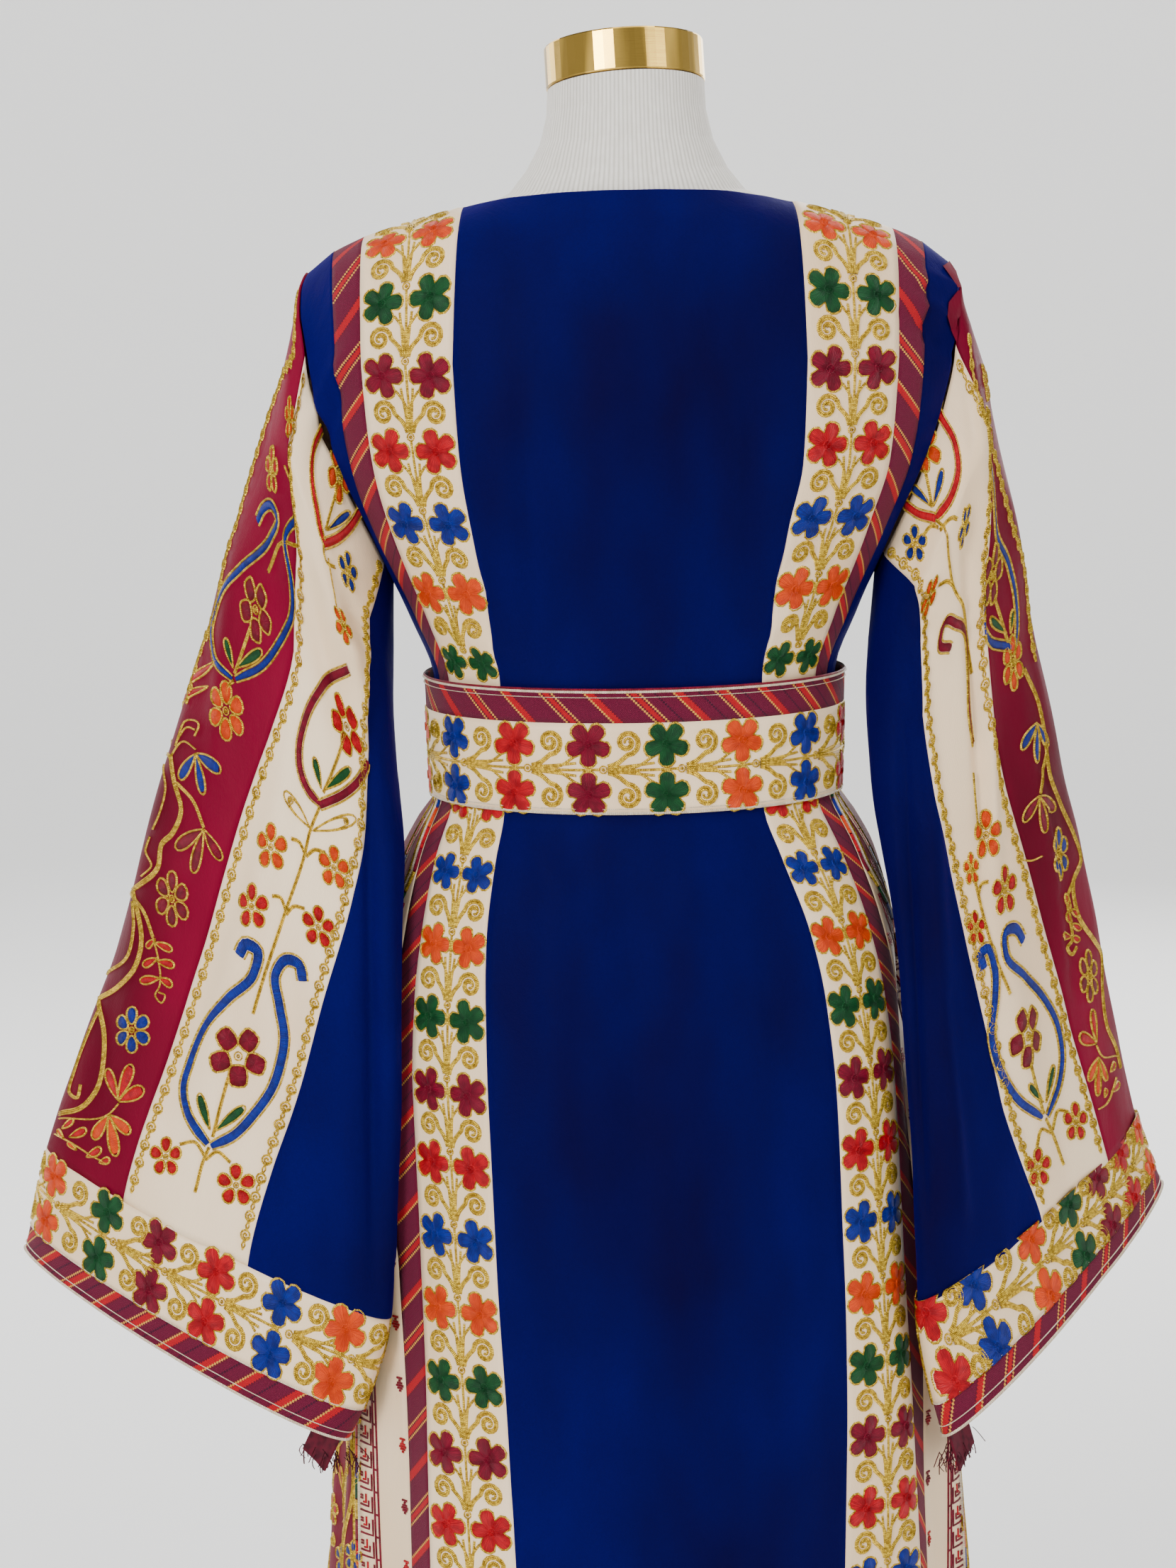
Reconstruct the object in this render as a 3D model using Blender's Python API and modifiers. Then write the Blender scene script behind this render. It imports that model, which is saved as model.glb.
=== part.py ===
# Long-sleeved thobe dress with its own belt, on a limbless dress form.
# Metres, +Z up. The back of the dress faces -Y, and the origin is under the middle of the round base.
# The dress is cloth all the way: every sewn piece is a thin wall of its own, and the body, the sleeves,
# the neck and the hem stay open.
import math

import bmesh
import bpy
import numpy as np
from mathutils import Vector

GROUP = "thobe_dress_on_form"
SIDES = ((-1, "l"), (1, "r"))   # left and right as seen from the back

# Cloth
CLOTH = 0.0016          # wall of a dress panel
SEAM = 0.0004           # gap between two pieces at a seam
TOUCH = 0.0003          # gap between hard pieces that meet

# Heights of the dress
HEM_Z = 0.040
SIDE_SEAM_TOP_Z = 1.088  # where the skirt's side pieces are sewn to the bodice, under the belt
UNDERARM_Z = 1.190
YOKE_Z = 1.335           # above this the panels run up to the shoulder seam
NECK_BACK_Z = 1.4405
NECK_FRONT_Z = 1.410
NECK_SIDE_Z = 1.4325
NECK_HALF = 0.104        # half width of the neckline

# Width of the cross-stitch strip, measured round the body
KEY_WIDTH = 0.045
KEY_WAIST_SHARE = 0.20   # the key strip narrows to this share of its width at the waist
KEY_FULL_Z = (0.90, 1.08)  # and has its full width below the first of these heights

# Belt
BELT_BOTTOM_Z = 1.0505
BELT_SEAM_Z = 1.1085
BELT_TOP_Z = 1.1290
BELT = ((BELT_BOTTOM_Z, 0.1369, 0.1009, 0.1004), (BELT_TOP_Z, 0.1392, 0.0990, 0.1034))  # as in BODY below

# Dress form and stand
FORM_BOTTOM_Z = 0.800
CAP_RADIUS = 0.0512
CAP_HEIGHT = 0.0268
CAP_BASE_Z = 1.5070      # middle of its underside
CAP_FORWARD = math.radians(9.5)
CAP_SIDEWAYS = math.radians(2.6)
POLE_RADIUS = 0.0125
BASE_RADIUS = 0.170
BASE_TOP_Z = 0.010

# Level sections of the worn dress: height, half width, depth of the back, depth of the front
BODY = (
    (0.040, 0.250, 0.215, 0.205),
    (0.300, 0.234, 0.192, 0.182),
    (0.500, 0.2195, 0.170, 0.162),
    (0.600, 0.212, 0.160, 0.152),
    (0.760, 0.196, 0.146, 0.138),
    (0.880, 0.183, 0.136, 0.127),
    (0.960, 0.171, 0.126, 0.118),
    (1.010, 0.158, 0.114, 0.108),
    (1.034, 0.1455, 0.1055, 0.1030),
    (1.051, 0.1340, 0.0980, 0.0975),
    (1.075, 0.1315, 0.0955, 0.0960),
    (1.100, 0.131, 0.0950, 0.096),
    (1.130, 0.133, 0.0955, 0.100),
    (1.165, 0.146, 0.098, 0.110),
    (1.190, 0.157, 0.101, 0.120),
    (1.220, 0.174, 0.104, 0.127),
    (1.260, 0.197, 0.106, 0.126),
    (1.300, 0.213, 0.106, 0.119),
    (1.335, 0.219, 0.104, 0.110),
    (1.360, 0.219, 0.100, 0.103),
    (1.380, 0.215, 0.095, 0.096),
    (1.395, 0.205, 0.090, 0.089),
    (1.406, 0.190, 0.0855, 0.083),
    (1.416, 0.168, 0.081, 0.078),
    (1.425, 0.136, 0.077, 0.073),
    (1.434, 0.105, 0.072, 0.068),
    (1.442, 0.084, 0.068, 0.064),
    (1.452, 0.070, 0.063, 0.059),
    (1.466, 0.060, 0.058, 0.055),
    (1.500, 0.0520, 0.0545, 0.0475),
)

# Measured round the body at each height: half the centre panel, the cream band, the striped trim, and
# how far the seams swing to +X
STRIPS = (
    (0.040, 0.118, 0.0660, 0.0200, 0.0300),
    (0.500, 0.110, 0.0655, 0.0200, 0.0230),
    (0.650, 0.114, 0.0630, 0.0200, 0.0225),
    (0.760, 0.116, 0.0625, 0.0200, 0.0190),
    (0.865, 0.117, 0.0625, 0.0200, 0.0150),
    (0.925, 0.114, 0.0600, 0.0190, 0.0110),
    (0.970, 0.108, 0.0550, 0.0180, 0.0060),
    (1.020, 0.095, 0.0500, 0.0165, -0.0005),
    (1.050, 0.087, 0.0480, 0.0160, -0.0030),
    (1.130, 0.087, 0.0480, 0.0160, -0.0040),
    (1.170, 0.092, 0.0540, 0.0180, -0.0040),
    (1.200, 0.097, 0.0600, 0.0195, -0.0035),
    (1.230, 0.102, 0.0630, 0.0200, -0.0030),
    (1.270, 0.109, 0.0640, 0.0205, -0.0010),
    (1.335, 0.112, 0.0640, 0.0205, -0.0010),
)

# Half widths of the seams at the shoulder
SHOULDER_X = {"centre": 0.105, "band": 0.170, "trim": 0.190}

# Armhole: its top and bottom, and how far its edge stands from the side seam's line
ARMHOLE_TOP_Z = 1.3935
ARMHOLE_DEPTH = 0.038

# Folds of the skirt: direction in degrees from the back towards +X, half spread, depth at the hem
FOLDS = (
    (-140, 8, -0.017), (-126, 7, 0.010), (-112, 8, -0.018), (-97, 8, 0.012), (-82, 8, -0.020),
    (-66, 8, 0.012), (-50, 6, -0.014), (-34, 9, 0.006), (-12, 12, -0.005), (12, 12, 0.005),
    (34, 9, -0.005), (52, 7, 0.010), (64, 6, -0.018), (78, 8, 0.012), (94, 9, -0.020),
    (110, 8, 0.012), (126, 8, -0.018), (141, 8, 0.009), (160, 12, -0.007), (180, 11, 0.006),
)
FOLD_START_Z = 1.020
FOLD_GROWTH = 1.35

# Rings of each sleeve from the armhole to the hem: the outer edge and the underarm edge (x, y, z), half
# the tube's thickness, and where the burgundy and the cream panels end, as shares of the flat width
SLEEVE_LEFT = (
    (-0.2250, 0.000, 1.3290, -0.1580, -0.010, 1.1520, 0.0500, 0.250, 0.890),
    (-0.2430, 0.000, 1.2800, -0.1584, -0.020, 1.1137, 0.0440, 0.420, 0.870),
    (-0.2665, 0.000, 1.2165, -0.1563, -0.032, 1.0637, 0.0390, 0.420, 0.840),
    (-0.2850, 0.000, 1.1540, -0.1532, -0.050, 1.0141, 0.0360, 0.370, 0.830),
    (-0.3045, 0.000, 1.0970, -0.1558, -0.063, 0.9665, 0.0350, 0.330, 0.800),
    (-0.3335, 0.000, 1.0030, -0.1591, -0.075, 0.9012, 0.0360, 0.295, 0.735),
    (-0.3510, 0.000, 0.9470, -0.1608, -0.078, 0.8557, 0.0370, 0.270, 0.695),
    (-0.3825, 0.000, 0.8680, -0.1639, -0.086, 0.7910, 0.0380, 0.258, 0.645),
    (-0.4040, 0.000, 0.8106, -0.1678, -0.094, 0.7179, 0.0390, 0.247, 0.610),
    (-0.4167, 0.000, 0.7573, -0.1860, -0.094, 0.6561, 0.0400, 0.247, 0.610),
    (-0.4210, 0.000, 0.7402, -0.1960, -0.094, 0.6356, 0.0400, 0.247, 0.610),
)
SLEEVE_RIGHT = (
    (0.2300, 0.005, 1.3290, 0.1545, -0.010, 1.1492, 0.0500, 0.200, 0.790),
    (0.2433, 0.015, 1.2763, 0.1530, -0.020, 1.1106, 0.0450, 0.230, 0.725),
    (0.2592, 0.022, 1.2085, 0.1544, -0.032, 1.0606, 0.0400, 0.315, 0.710),
    (0.2673, 0.030, 1.1495, 0.1600, -0.045, 1.0156, 0.0380, 0.343, 0.715),
    (0.2805, 0.036, 1.0980, 0.1650, -0.055, 0.9726, 0.0380, 0.340, 0.690),
    (0.2964, 0.042, 1.0320, 0.1690, -0.066, 0.9133, 0.0390, 0.300, 0.640),
    (0.3103, 0.050, 0.9726, 0.1720, -0.074, 0.8629, 0.0400, 0.272, 0.617),
    (0.3242, 0.056, 0.9061, 0.1750, -0.082, 0.8071, 0.0410, 0.232, 0.590),
    (0.3493, 0.066, 0.8010, 0.1765, -0.092, 0.7195, 0.0420, 0.190, 0.485),
    (0.3619, 0.070, 0.7640, 0.1880, -0.092, 0.6523, 0.0420, 0.190, 0.485),
    (0.3671, 0.070, 0.7505, 0.1940, -0.092, 0.6296, 0.0420, 0.190, 0.485),
)
SLEEVE_START = 0.0008    # how far the sleeve's first ring stands out from the armhole's edge
SLEEVE_BULGE = 0.016     # how far its first rings are rounded outwards, back and front
CUFF_ROW = 8             # row of the table where the hem band is sewn on
CUFF_TRIM_ROW = 9        # and where the striped trim is sewn to it

# The form's own half width and its depths under the waist: height, half width, depth back, depth front
FORM = (
    (0.800, 0.150, 0.108, 0.098),
    (0.860, 0.156, 0.116, 0.104),
    (0.940, 0.151, 0.111, 0.102),
    (1.010, 0.137, 0.099, 0.095),
    (1.060, 0.1260, 0.0905, 0.0895),
    (1.100, 0.1255, 0.0900, 0.0905),
    (1.150, 0.1330, 0.0920, 0.0990),
    (1.200, 0.1440, 0.0970, 0.1170),
    (1.250, 0.1570, 0.1015, 0.1210),
    (1.300, 0.1690, 0.1025, 0.1140),
    (1.345, 0.1800, 0.1001, 0.1025),
    (1.375, 0.1880, 0.0941, 0.0930),
    (1.390, 0.1890, 0.0890, 0.0850),
    (1.402, 0.1838, 0.0834, 0.0785),
    (1.411, 0.1668, 0.0789, 0.0730),
    (1.420, 0.1378, 0.0744, 0.0675),
    (1.430, 0.1000, 0.0690, 0.0620),
    (1.440, 0.0775, 0.0640, 0.0590),
    (1.455, 0.0650, 0.0590, 0.0550),
    (1.472, 0.0560, 0.0540, 0.0500),
    (1.490, 0.0515, 0.0515, 0.0490),
    (1.5065, 0.0505, 0.0505, 0.0505),
)
FORM_RINGS = (0.800, 0.803, 0.830, 0.880, 0.940, 1.000, 1.050, 1.100, 1.150, 1.200, 1.250, 1.300, 1.340,
              1.368, 1.390, 1.403, 1.411, 1.420, 1.430, 1.441, 1.455, 1.472, 1.490, 1.5065)
FORM_SEGMENTS = 40
FORM_EDGE = 0.004        # rounding of the form's bottom edge
NECK_TILT_START_Z = 1.455
NECK_CENTRE_Y = -0.001

HEIGHTS = (HEM_Z, 0.11, 0.19, 0.28, 0.37, 0.46, 0.55, 0.64, 0.73, 0.81, 0.88, 0.94, 0.985,
           1.018, 1.036, 1.048, 1.064, SIDE_SEAM_TOP_Z, 1.125, 1.16, 1.195, 1.23, 1.265, 1.30, YOKE_Z)
YOKE_STEPS = 6

SIDE_COLUMNS = 3         # columns of the bodice's side piece, from the armhole outwards
WAIST_COLUMNS = 8        # and its points along the waist seam
SIDE_START_Z = 1.3934    # height on the armhole where the piece starts, at the shoulder seam

# Heights on the trim's edge, and the height on the armhole that each is joined to
ARMHOLE_MATCH = (
    (1.088, 1.1970), (1.125, 1.2005), (1.160, 1.2065), (1.195, 1.2180), (1.230, 1.2390),
    (1.265, 1.2690), (1.300, 1.3010), (1.335, 1.3350), (1.4065, SIDE_START_Z),
)

ARMHOLE_BURGUNDY = 0.26
ARMHOLE_CREAM = 0.93

CUFF_COLUMNS = 32
CUFF_GAP_ROWS = 0.008    # half a millimetre along the sleeve, in rows of its table

# Raw end of the gore's seam allowance that hangs out under the sleeve's hem
TAIL_TURNS = (191.25, 213.75)
TAIL_ROWS = (9.3, 11.4)

BELT_COLUMNS = 44

COLOURS = {
    "velvet": ((0.006, 0.007, 0.150), 0.75, 0.0),
    "cream": ((0.800, 0.710, 0.590), 0.45, 0.0),
    "stripe": ((0.240, 0.022, 0.055), 0.70, 0.0),
    "burgundy": ((0.230, 0.010, 0.038), 0.40, 0.0),
    "linen": ((0.780, 0.750, 0.700), 0.85, 0.0),
    "gold": ((0.780, 0.520, 0.200), 0.15, 1.0),
    "steel": ((0.620, 0.620, 0.620), 0.30, 1.0),
}


def curve_at(table, column, at):
    """Smooth value of a table's column, where the first column is the height."""
    keys = [row[0] for row in table]
    vals = [row[column] for row in table]
    if at <= keys[0]:
        return vals[0]
    if at >= keys[-1]:
        return vals[-1]
    k = next(i for i in range(len(keys) - 1) if keys[i + 1] >= at)
    slopes = [(vals[i + 1] - vals[i]) / (keys[i + 1] - keys[i]) for i in range(len(keys) - 1)]

    def tangent(i):
        if i == 0:
            return slopes[0]
        if i == len(keys) - 1:
            return slopes[-1]
        if slopes[i - 1] * slopes[i] <= 0:
            return 0.0
        return 2 * slopes[i - 1] * slopes[i] / (slopes[i - 1] + slopes[i])

    step = keys[k + 1] - keys[k]
    t = (at - keys[k]) / step
    a = (1 + 2 * t) * (1 - t) ** 2 * vals[k] + t * (1 - t) ** 2 * step * tangent(k)
    return a + t * t * (3 - 2 * t) * vals[k + 1] - t * t * (1 - t) * step * tangent(k + 1)


def fold_depth(angle, z):
    """Outward shift of the skirt at a direction in degrees from the back towards +X."""
    if z >= FOLD_START_Z:
        return 0.0
    grown = ((FOLD_START_Z - z) / (FOLD_START_Z - HEM_Z)) ** FOLD_GROWTH
    total = 0.0
    for centre, spread, depth in FOLDS:
        away = abs((angle - centre + 180) % 360 - 180)
        if away < 2 * spread:
            total += depth * math.cos(math.pi * away / (4 * spread)) ** 2
    return grown * total


def oval_point(sections, angle, z, out):
    """Point on a table's level section, in a direction in degrees from the back towards +X."""
    turn = math.radians(angle)
    half = curve_at(sections, 1, z)
    depth = curve_at(sections, 2 if math.cos(turn) > 0 else 3, z)
    nx, ny = depth * math.sin(turn), -half * math.cos(turn)
    size = math.hypot(nx, ny)
    return (half * math.sin(turn) + out * nx / size, -depth * math.cos(turn) + out * ny / size, z)


def on_body(angle, z, out=0.0):
    return oval_point(BODY, angle, z, out + fold_depth(angle, z))


class Level:
    """One level section of the body, with distances measured round it from the centre back."""

    def __init__(self, z):
        self.z = z
        self.angles = np.arange(-180.0, 180.5, 1.5)
        points = np.array([on_body(a, z) for a in self.angles])
        steps = np.linalg.norm(np.diff(points, axis=0), axis=1)
        run = np.concatenate([[0.0], np.cumsum(steps)])
        self.run = run - np.interp(0.0, self.angles, run)
        self.round = run[-1]
        self.half, self.band, self.trim, self.lean = (curve_at(STRIPS, column, z) for column in (1, 2, 3, 4))

    def angle(self, distance):
        ends = self.run[0], self.run[-1]
        if distance > ends[1]:
            return float(np.interp(distance - self.round, self.run, self.angles)) + 360
        if distance < ends[0]:
            return float(np.interp(distance + self.round, self.run, self.angles)) - 360
        return float(np.interp(distance, self.run, self.angles))

    def seams(self):
        """Distances of the seams round the section, by name of the edge."""
        front = self.run[-1]
        widths = {"centre": self.half, "band": self.half + self.band}
        widths["trim"] = widths["band"] + self.trim
        tapered = min(1.0, max(KEY_WAIST_SHARE, (KEY_FULL_Z[1] - self.z) / (KEY_FULL_Z[1] - KEY_FULL_Z[0])))
        widths["key"] = widths["trim"] + KEY_WIDTH * tapered
        found = {}
        for name, width in widths.items():
            found["back", 1, name] = width + self.lean
            found["back", -1, name] = -width + self.lean
            found["front", 1, name] = front - width + self.lean
            found["front", -1, name] = -front + width + self.lean
        return found


LEVELS = {}


def level(z):
    if z not in LEVELS:
        LEVELS[z] = Level(z)
    return LEVELS[z]


def shoulder_z(x):
    """Height of the shoulder's ridge at a distance from the middle."""
    rows = sorted((row[1], row[0]) for row in BODY if row[0] >= 1.38)
    return float(np.interp(abs(x), [r[0] for r in rows], [r[1] for r in rows]))


def neck_z(x, face):
    """Height of the neckline at a distance from the middle, inside the neck's half width."""
    low = NECK_BACK_Z if face == "back" else NECK_FRONT_Z
    share = min(1.0, abs(x) / NECK_HALF)
    return low + (NECK_SIDE_Z - low) * share ** 3


def body_reach(x, y, z):
    """How far a point reaches from the body's middle line, as a share of the surface's reach."""
    half = curve_at(BODY, 1, z)
    depth = curve_at(BODY, 2 if y < 0 else 3, z)
    return (x / half) ** 2 + (y / depth) ** 2


def moved_in(p, distance):
    """A point of the bodice moved into the body, square to the surface."""
    nudge = 0.0004
    slope = [body_reach(*(c + (nudge if i == k else 0.0) for i, c in enumerate(p)))
             - body_reach(*(c - (nudge if i == k else 0.0) for i, c in enumerate(p))) for k in range(3)]
    size = math.hypot(*slope)
    return tuple(c - distance * d / size for c, d in zip(p, slope))


def yoke_point(x_low, x_top, rise, face):
    """Point above the yoke line, where rise runs from 0 at that line to 1 at the top edge."""
    x = x_low + (x_top - x_low) * rise
    top = shoulder_z(x_top)
    if abs(x_top) < NECK_HALF + 0.0015:
        top = min(top, neck_z(x_top, face))
    z = YOKE_Z + (top - YOKE_Z) * math.sin(rise * math.pi / 2)
    half = curve_at(BODY, 1, z)
    depth = curve_at(BODY, 2 if face == "back" else 3, z)
    side = -1 if face == "back" else 1
    across = min(1.0, abs(x) / half)
    return (x, side * max(SEAM / 2, depth * math.sqrt(1 - across * across)), z)


def spaced(a, b, columns):
    """Places from a to b, with half a seam's gap left at each end."""
    gap = math.copysign(SEAM / 2, b - a)
    return [a + gap + (b - a - 2 * gap) * i / columns for i in range(columns + 1)]


def strip_rows(face, from_seam, to_seam, columns, inset):
    """Rows of points of a full-length strip between two seams, from the hem up to the shoulder."""
    rows = []
    for z in HEIGHTS:
        here = level(z)
        seams = here.seams()
        a, b = seams[(face, *from_seam)], seams[(face, *to_seam)]
        if b - a > here.round / 2:
            b -= here.round
        if a - b > here.round / 2:
            a -= here.round
        rows.append([on_body(here.angle(s), z, -inset) for s in spaced(a, b, columns)])
    low = [on_body(here.angle(s), YOKE_Z) for s in spaced(a, b, columns)]
    x_top = spaced(from_seam[0] * SHOULDER_X[from_seam[1]], to_seam[0] * SHOULDER_X[to_seam[1]], columns)
    if from_seam[1] == to_seam[1]:
        reach = max(x_top)
        x_top = [reach * math.sin(math.pi / 2 * x / reach) for x in x_top]
    for step in range(1, YOKE_STEPS + 1):
        line = [yoke_point(p[0], top, step / YOKE_STEPS, face) for p, top in zip(low, x_top)]
        rows.append([moved_in(p, inset) for p in line])
    return rows


def skirt_rows(from_seam, to_seam, columns, inset):
    """Rows of a skirt piece that ends at the waist seam under the belt."""
    rows = []
    for z in (h for h in HEIGHTS if h <= SIDE_SEAM_TOP_Z):
        here = level(z)
        seams = here.seams()
        places = spaced(seams[from_seam], seams[to_seam], columns)
        rows.append([on_body(here.angle(s), z, -inset) for s in places])
    return rows


def armhole_point(turn, side, aside=0.0, wider=0.0):
    """Point of the armhole: 0 at the shoulder tip, 90 on the back, 180 under the arm, 270 on the front."""
    radius = (ARMHOLE_TOP_Z - UNDERARM_Z) / 2
    z = UNDERARM_Z + radius + (radius + wider) * math.cos(math.radians(turn))
    y = -(ARMHOLE_DEPTH + wider) * math.sin(math.radians(turn))
    depth = curve_at(BODY, 2 if y < 0 else 3, z)
    x = curve_at(BODY, 1, z) * math.sqrt(1 - (y / depth) ** 2)
    return (side * (x + aside), y, z)


def lay_on_body(p):
    """The point moved level onto the body's surface, in its own direction from the middle."""
    half = curve_at(BODY, 1, p[2])
    depth = curve_at(BODY, 2 if p[1] < 0 else 3, p[2])
    scale = math.hypot(p[0] / half, p[1] / depth)
    return (p[0] / scale, p[1] / scale, p[2])


def side_outline(side, inset):
    """Outer edge of the bodice's side piece: down the back trim, round the waist seam, up the front."""
    edges = {}
    for face in ("back", "front"):
        toward_side = side if face == "back" else -side
        line = []
        for z in (h for h in HEIGHTS if h > SIDE_SEAM_TOP_Z):
            here = level(z)
            place = here.seams()[face, side, "trim"] + toward_side * SEAM / 2
            line.append(on_body(here.angle(place), z, -inset))
        x_low = on_body(here.angle(place), YOKE_Z)[0]
        for step in range(1, YOKE_STEPS + 1):
            top = side * (SHOULDER_X["trim"] + SEAM / 2)
            line.append(moved_in(yoke_point(x_low, top, step / YOKE_STEPS, face), inset))
        edges[face] = line
    waist = level(SIDE_SEAM_TOP_Z)
    seams = waist.seams()
    places = spaced(seams["back", side, "trim"], seams["front", side, "trim"], WAIST_COLUMNS)
    bottom = [on_body(waist.angle(p), SIDE_SEAM_TOP_Z + SEAM, -inset) for p in places]
    return edges["back"][::-1] + bottom + edges["front"]


def armhole_turn(z):
    """Direction on the armhole that is joined to the trim's edge at a height."""
    at = np.interp(z, [row[0] for row in ARMHOLE_MATCH], [row[1] for row in ARMHOLE_MATCH])
    radius = (ARMHOLE_TOP_Z - UNDERARM_Z) / 2
    return math.degrees(math.acos((at - UNDERARM_Z - radius) / radius))


def bodice_side_rows(side, inset):
    """Rows from the armhole's edge out to the trim and down to the waist seam, all round the armhole."""
    rows = []
    outline = side_outline(side, inset)
    trim_points = (len(outline) - WAIST_COLUMNS - 1) // 2
    for i, far in enumerate(outline):
        turn = armhole_turn(far[2])
        corner = armhole_turn(ARMHOLE_MATCH[0][0])
        along_waist = (i - trim_points) / WAIST_COLUMNS
        if 0 <= along_waist <= 1:
            turn = corner + (360 - 2 * corner) * along_waist
        elif along_waist > 1:
            turn = 360 - turn
        edge = moved_in(armhole_point(turn, side), inset)
        row = []
        for k in range(SIDE_COLUMNS + 1):
            t = k / SIDE_COLUMNS
            p = tuple(edge[i] + (far[i] - edge[i]) * t for i in range(3))
            row.append(moved_in(lay_on_body(p), inset) if 0 < k < SIDE_COLUMNS and p[2] < YOKE_Z else p)
        rows.append(row)
    return rows


def ring_point(values, turn):
    """Point of a sleeve ring: 0 at the outer edge, 90 at the back, 180 at the underarm edge."""
    ox, oy, oz, ix, iy, iz, thick = values[:7]
    share = (1 - math.cos(math.radians(turn))) / 2
    y = oy + (iy - oy) * share - thick * math.sin(math.radians(turn))
    return (ox + (ix - ox) * share, y, oz + (iz - oz) * share)


def sleeve_values(row, side):
    """The sleeve's table at a row, with whole numbers as its own rows."""
    table = SLEEVE_LEFT if side < 0 else SLEEVE_RIGHT
    k = min(max(int(row), 0), len(table) - 2)
    return [a + (b - a) * (row - k) for a, b in zip(table[k], table[k + 1])]


def sleeve_surface(row, turn, side):
    """Point of the sleeve, where row -1 is the armhole and row 0 is the first of its table."""
    x, y, z = ring_point(sleeve_values(max(0, row), side), turn)
    x += side * SLEEVE_BULGE * max(0.0, 1 - max(0, row) / 2) * math.sin(math.radians(turn)) ** 2
    if row >= 0:
        return (x, y, z)
    start = armhole_point(turn, side, SLEEVE_START, -SLEEVE_START)
    return tuple(a + (b - a) * (row + 1) for a, b in zip(start, (x, y, z)))


def sleeve_point(row, turn, side, out=0.0):
    """The same point, moved out square to the sleeve's surface."""
    along = Vector(sleeve_surface(row + 0.02, turn, side)) - Vector(sleeve_surface(max(-1, row - 0.02), turn, side))
    around = Vector(sleeve_surface(row, turn + 1, side)) - Vector(sleeve_surface(row, turn - 1, side))
    return tuple(Vector(sleeve_surface(row, turn, side)) - side * out * along.cross(around).normalized())


def sleeve_seams(row, side):
    """Directions on a sleeve ring of the burgundy panel's and the cream panel's seams."""
    burgundy, cream = sleeve_values(max(row, 0.0), side)[7:9]
    cream += (ARMHOLE_CREAM - cream) * max(0.0, -row)
    burgundy += (ARMHOLE_BURGUNDY - burgundy) * max(0.0, -row)
    return [math.degrees(math.acos(1 - 2 * share)) for share in (burgundy, cream)]


def seam_gap(row, side, which):
    """A seam's room on each side, in degrees round the sleeve, square to the way that the seam runs."""
    low, high = max(-1.0, row - 0.1), row + 0.1
    turns = [sleeve_seams(r, side)[which] for r in (low, row, high)]
    along = Vector(sleeve_surface(high, turns[2], side)) - Vector(sleeve_surface(low, turns[0], side))
    around = Vector(sleeve_surface(row, turns[1] + 0.5, side)) - Vector(sleeve_surface(row, turns[1] - 0.5, side))
    return 0.75 * SEAM * along.length / along.cross(around).length


def sleeve_rows(side, part, columns, inset):
    """Rows of one long panel of a sleeve, from the armhole to the hem band."""
    rows = []
    for row in [-1.0, -0.5] + [float(r) for r in range(CUFF_ROW)] + [CUFF_ROW - CUFF_GAP_ROWS]:
        burgundy, cream = sleeve_seams(row, side)
        narrow, wide = seam_gap(row, side, 0), seam_gap(row, side, 1)
        spans = {
            "top": (-burgundy + narrow, burgundy - narrow),
            "cream_back": (burgundy + narrow, cream - wide),
            "cream_front": (360 - cream + wide, 360 - burgundy - narrow),
            "gore": (cream + wide, 360 - cream - wide),
        }
        a, b = spans[part]
        turns = [a + (b - a) * i / columns for i in range(columns + 1)]
        rows.append([sleeve_point(row, turn, side, -inset) for turn in turns])
    return rows


def cuff_rows(side, first, last, steps, inset):
    """Rows of a band right round the sleeve."""
    turns = [180 + 360 * i / CUFF_COLUMNS for i in range(CUFF_COLUMNS)]
    turns.append(turns[0])
    return [[sleeve_point(first + (last - first) * k / steps, turn, side, -inset) for turn in turns]
            for k in range(steps + 1)]


def tail_rows(side, inset):
    """Rows of the gore's raw seam end, inside the sleeve and out below its hem."""
    under = -(CLOTH + 2 * SEAM + inset)
    return [[sleeve_point(TAIL_ROWS[0] + (TAIL_ROWS[1] - TAIL_ROWS[0]) * k / 3,
                          TAIL_TURNS[0] + (TAIL_TURNS[1] - TAIL_TURNS[0]) * i / 2, side, under)
             for i in range(3)] for k in range(4)]


def belt_rows(bottom, top, steps, inset):
    """Rows of a band right round the waist, clear of the dress."""
    angles = [180 + 360 * i / BELT_COLUMNS for i in range(BELT_COLUMNS)]
    angles.append(angles[0])
    heights = [bottom + (top - bottom) * k / steps for k in range(steps + 1)]
    return [[oval_point(BELT, angle, z, -inset) for angle in angles] for z in heights]


def form_rows():
    """Rings of the dress form, from its underside up to the tilted top of its neck."""
    rows = []
    for z in FORM_RINGS:
        inset = FORM_EDGE if z == FORM_BOTTOM_Z else 0.0
        half, back, front = (curve_at(FORM, column, z) - inset for column in (1, 2, 3))
        tilt = max(0.0, (z - NECK_TILT_START_Z) / (FORM_RINGS[-1] - NECK_TILT_START_Z))
        ring = []
        for i in range(FORM_SEGMENTS + 1):
            turn = 2 * math.pi * (i % FORM_SEGMENTS) / FORM_SEGMENTS
            depth = back if math.cos(turn) > 0 else front
            x, y = half * math.sin(turn), -depth * math.cos(turn)
            lift = -y * math.sin(CAP_FORWARD) + x * math.sin(CAP_SIDEWAYS)
            ring.append((x, y + NECK_CENTRE_Y * tilt, z + lift * tilt))
        rows.append(ring)
    return rows


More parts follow.
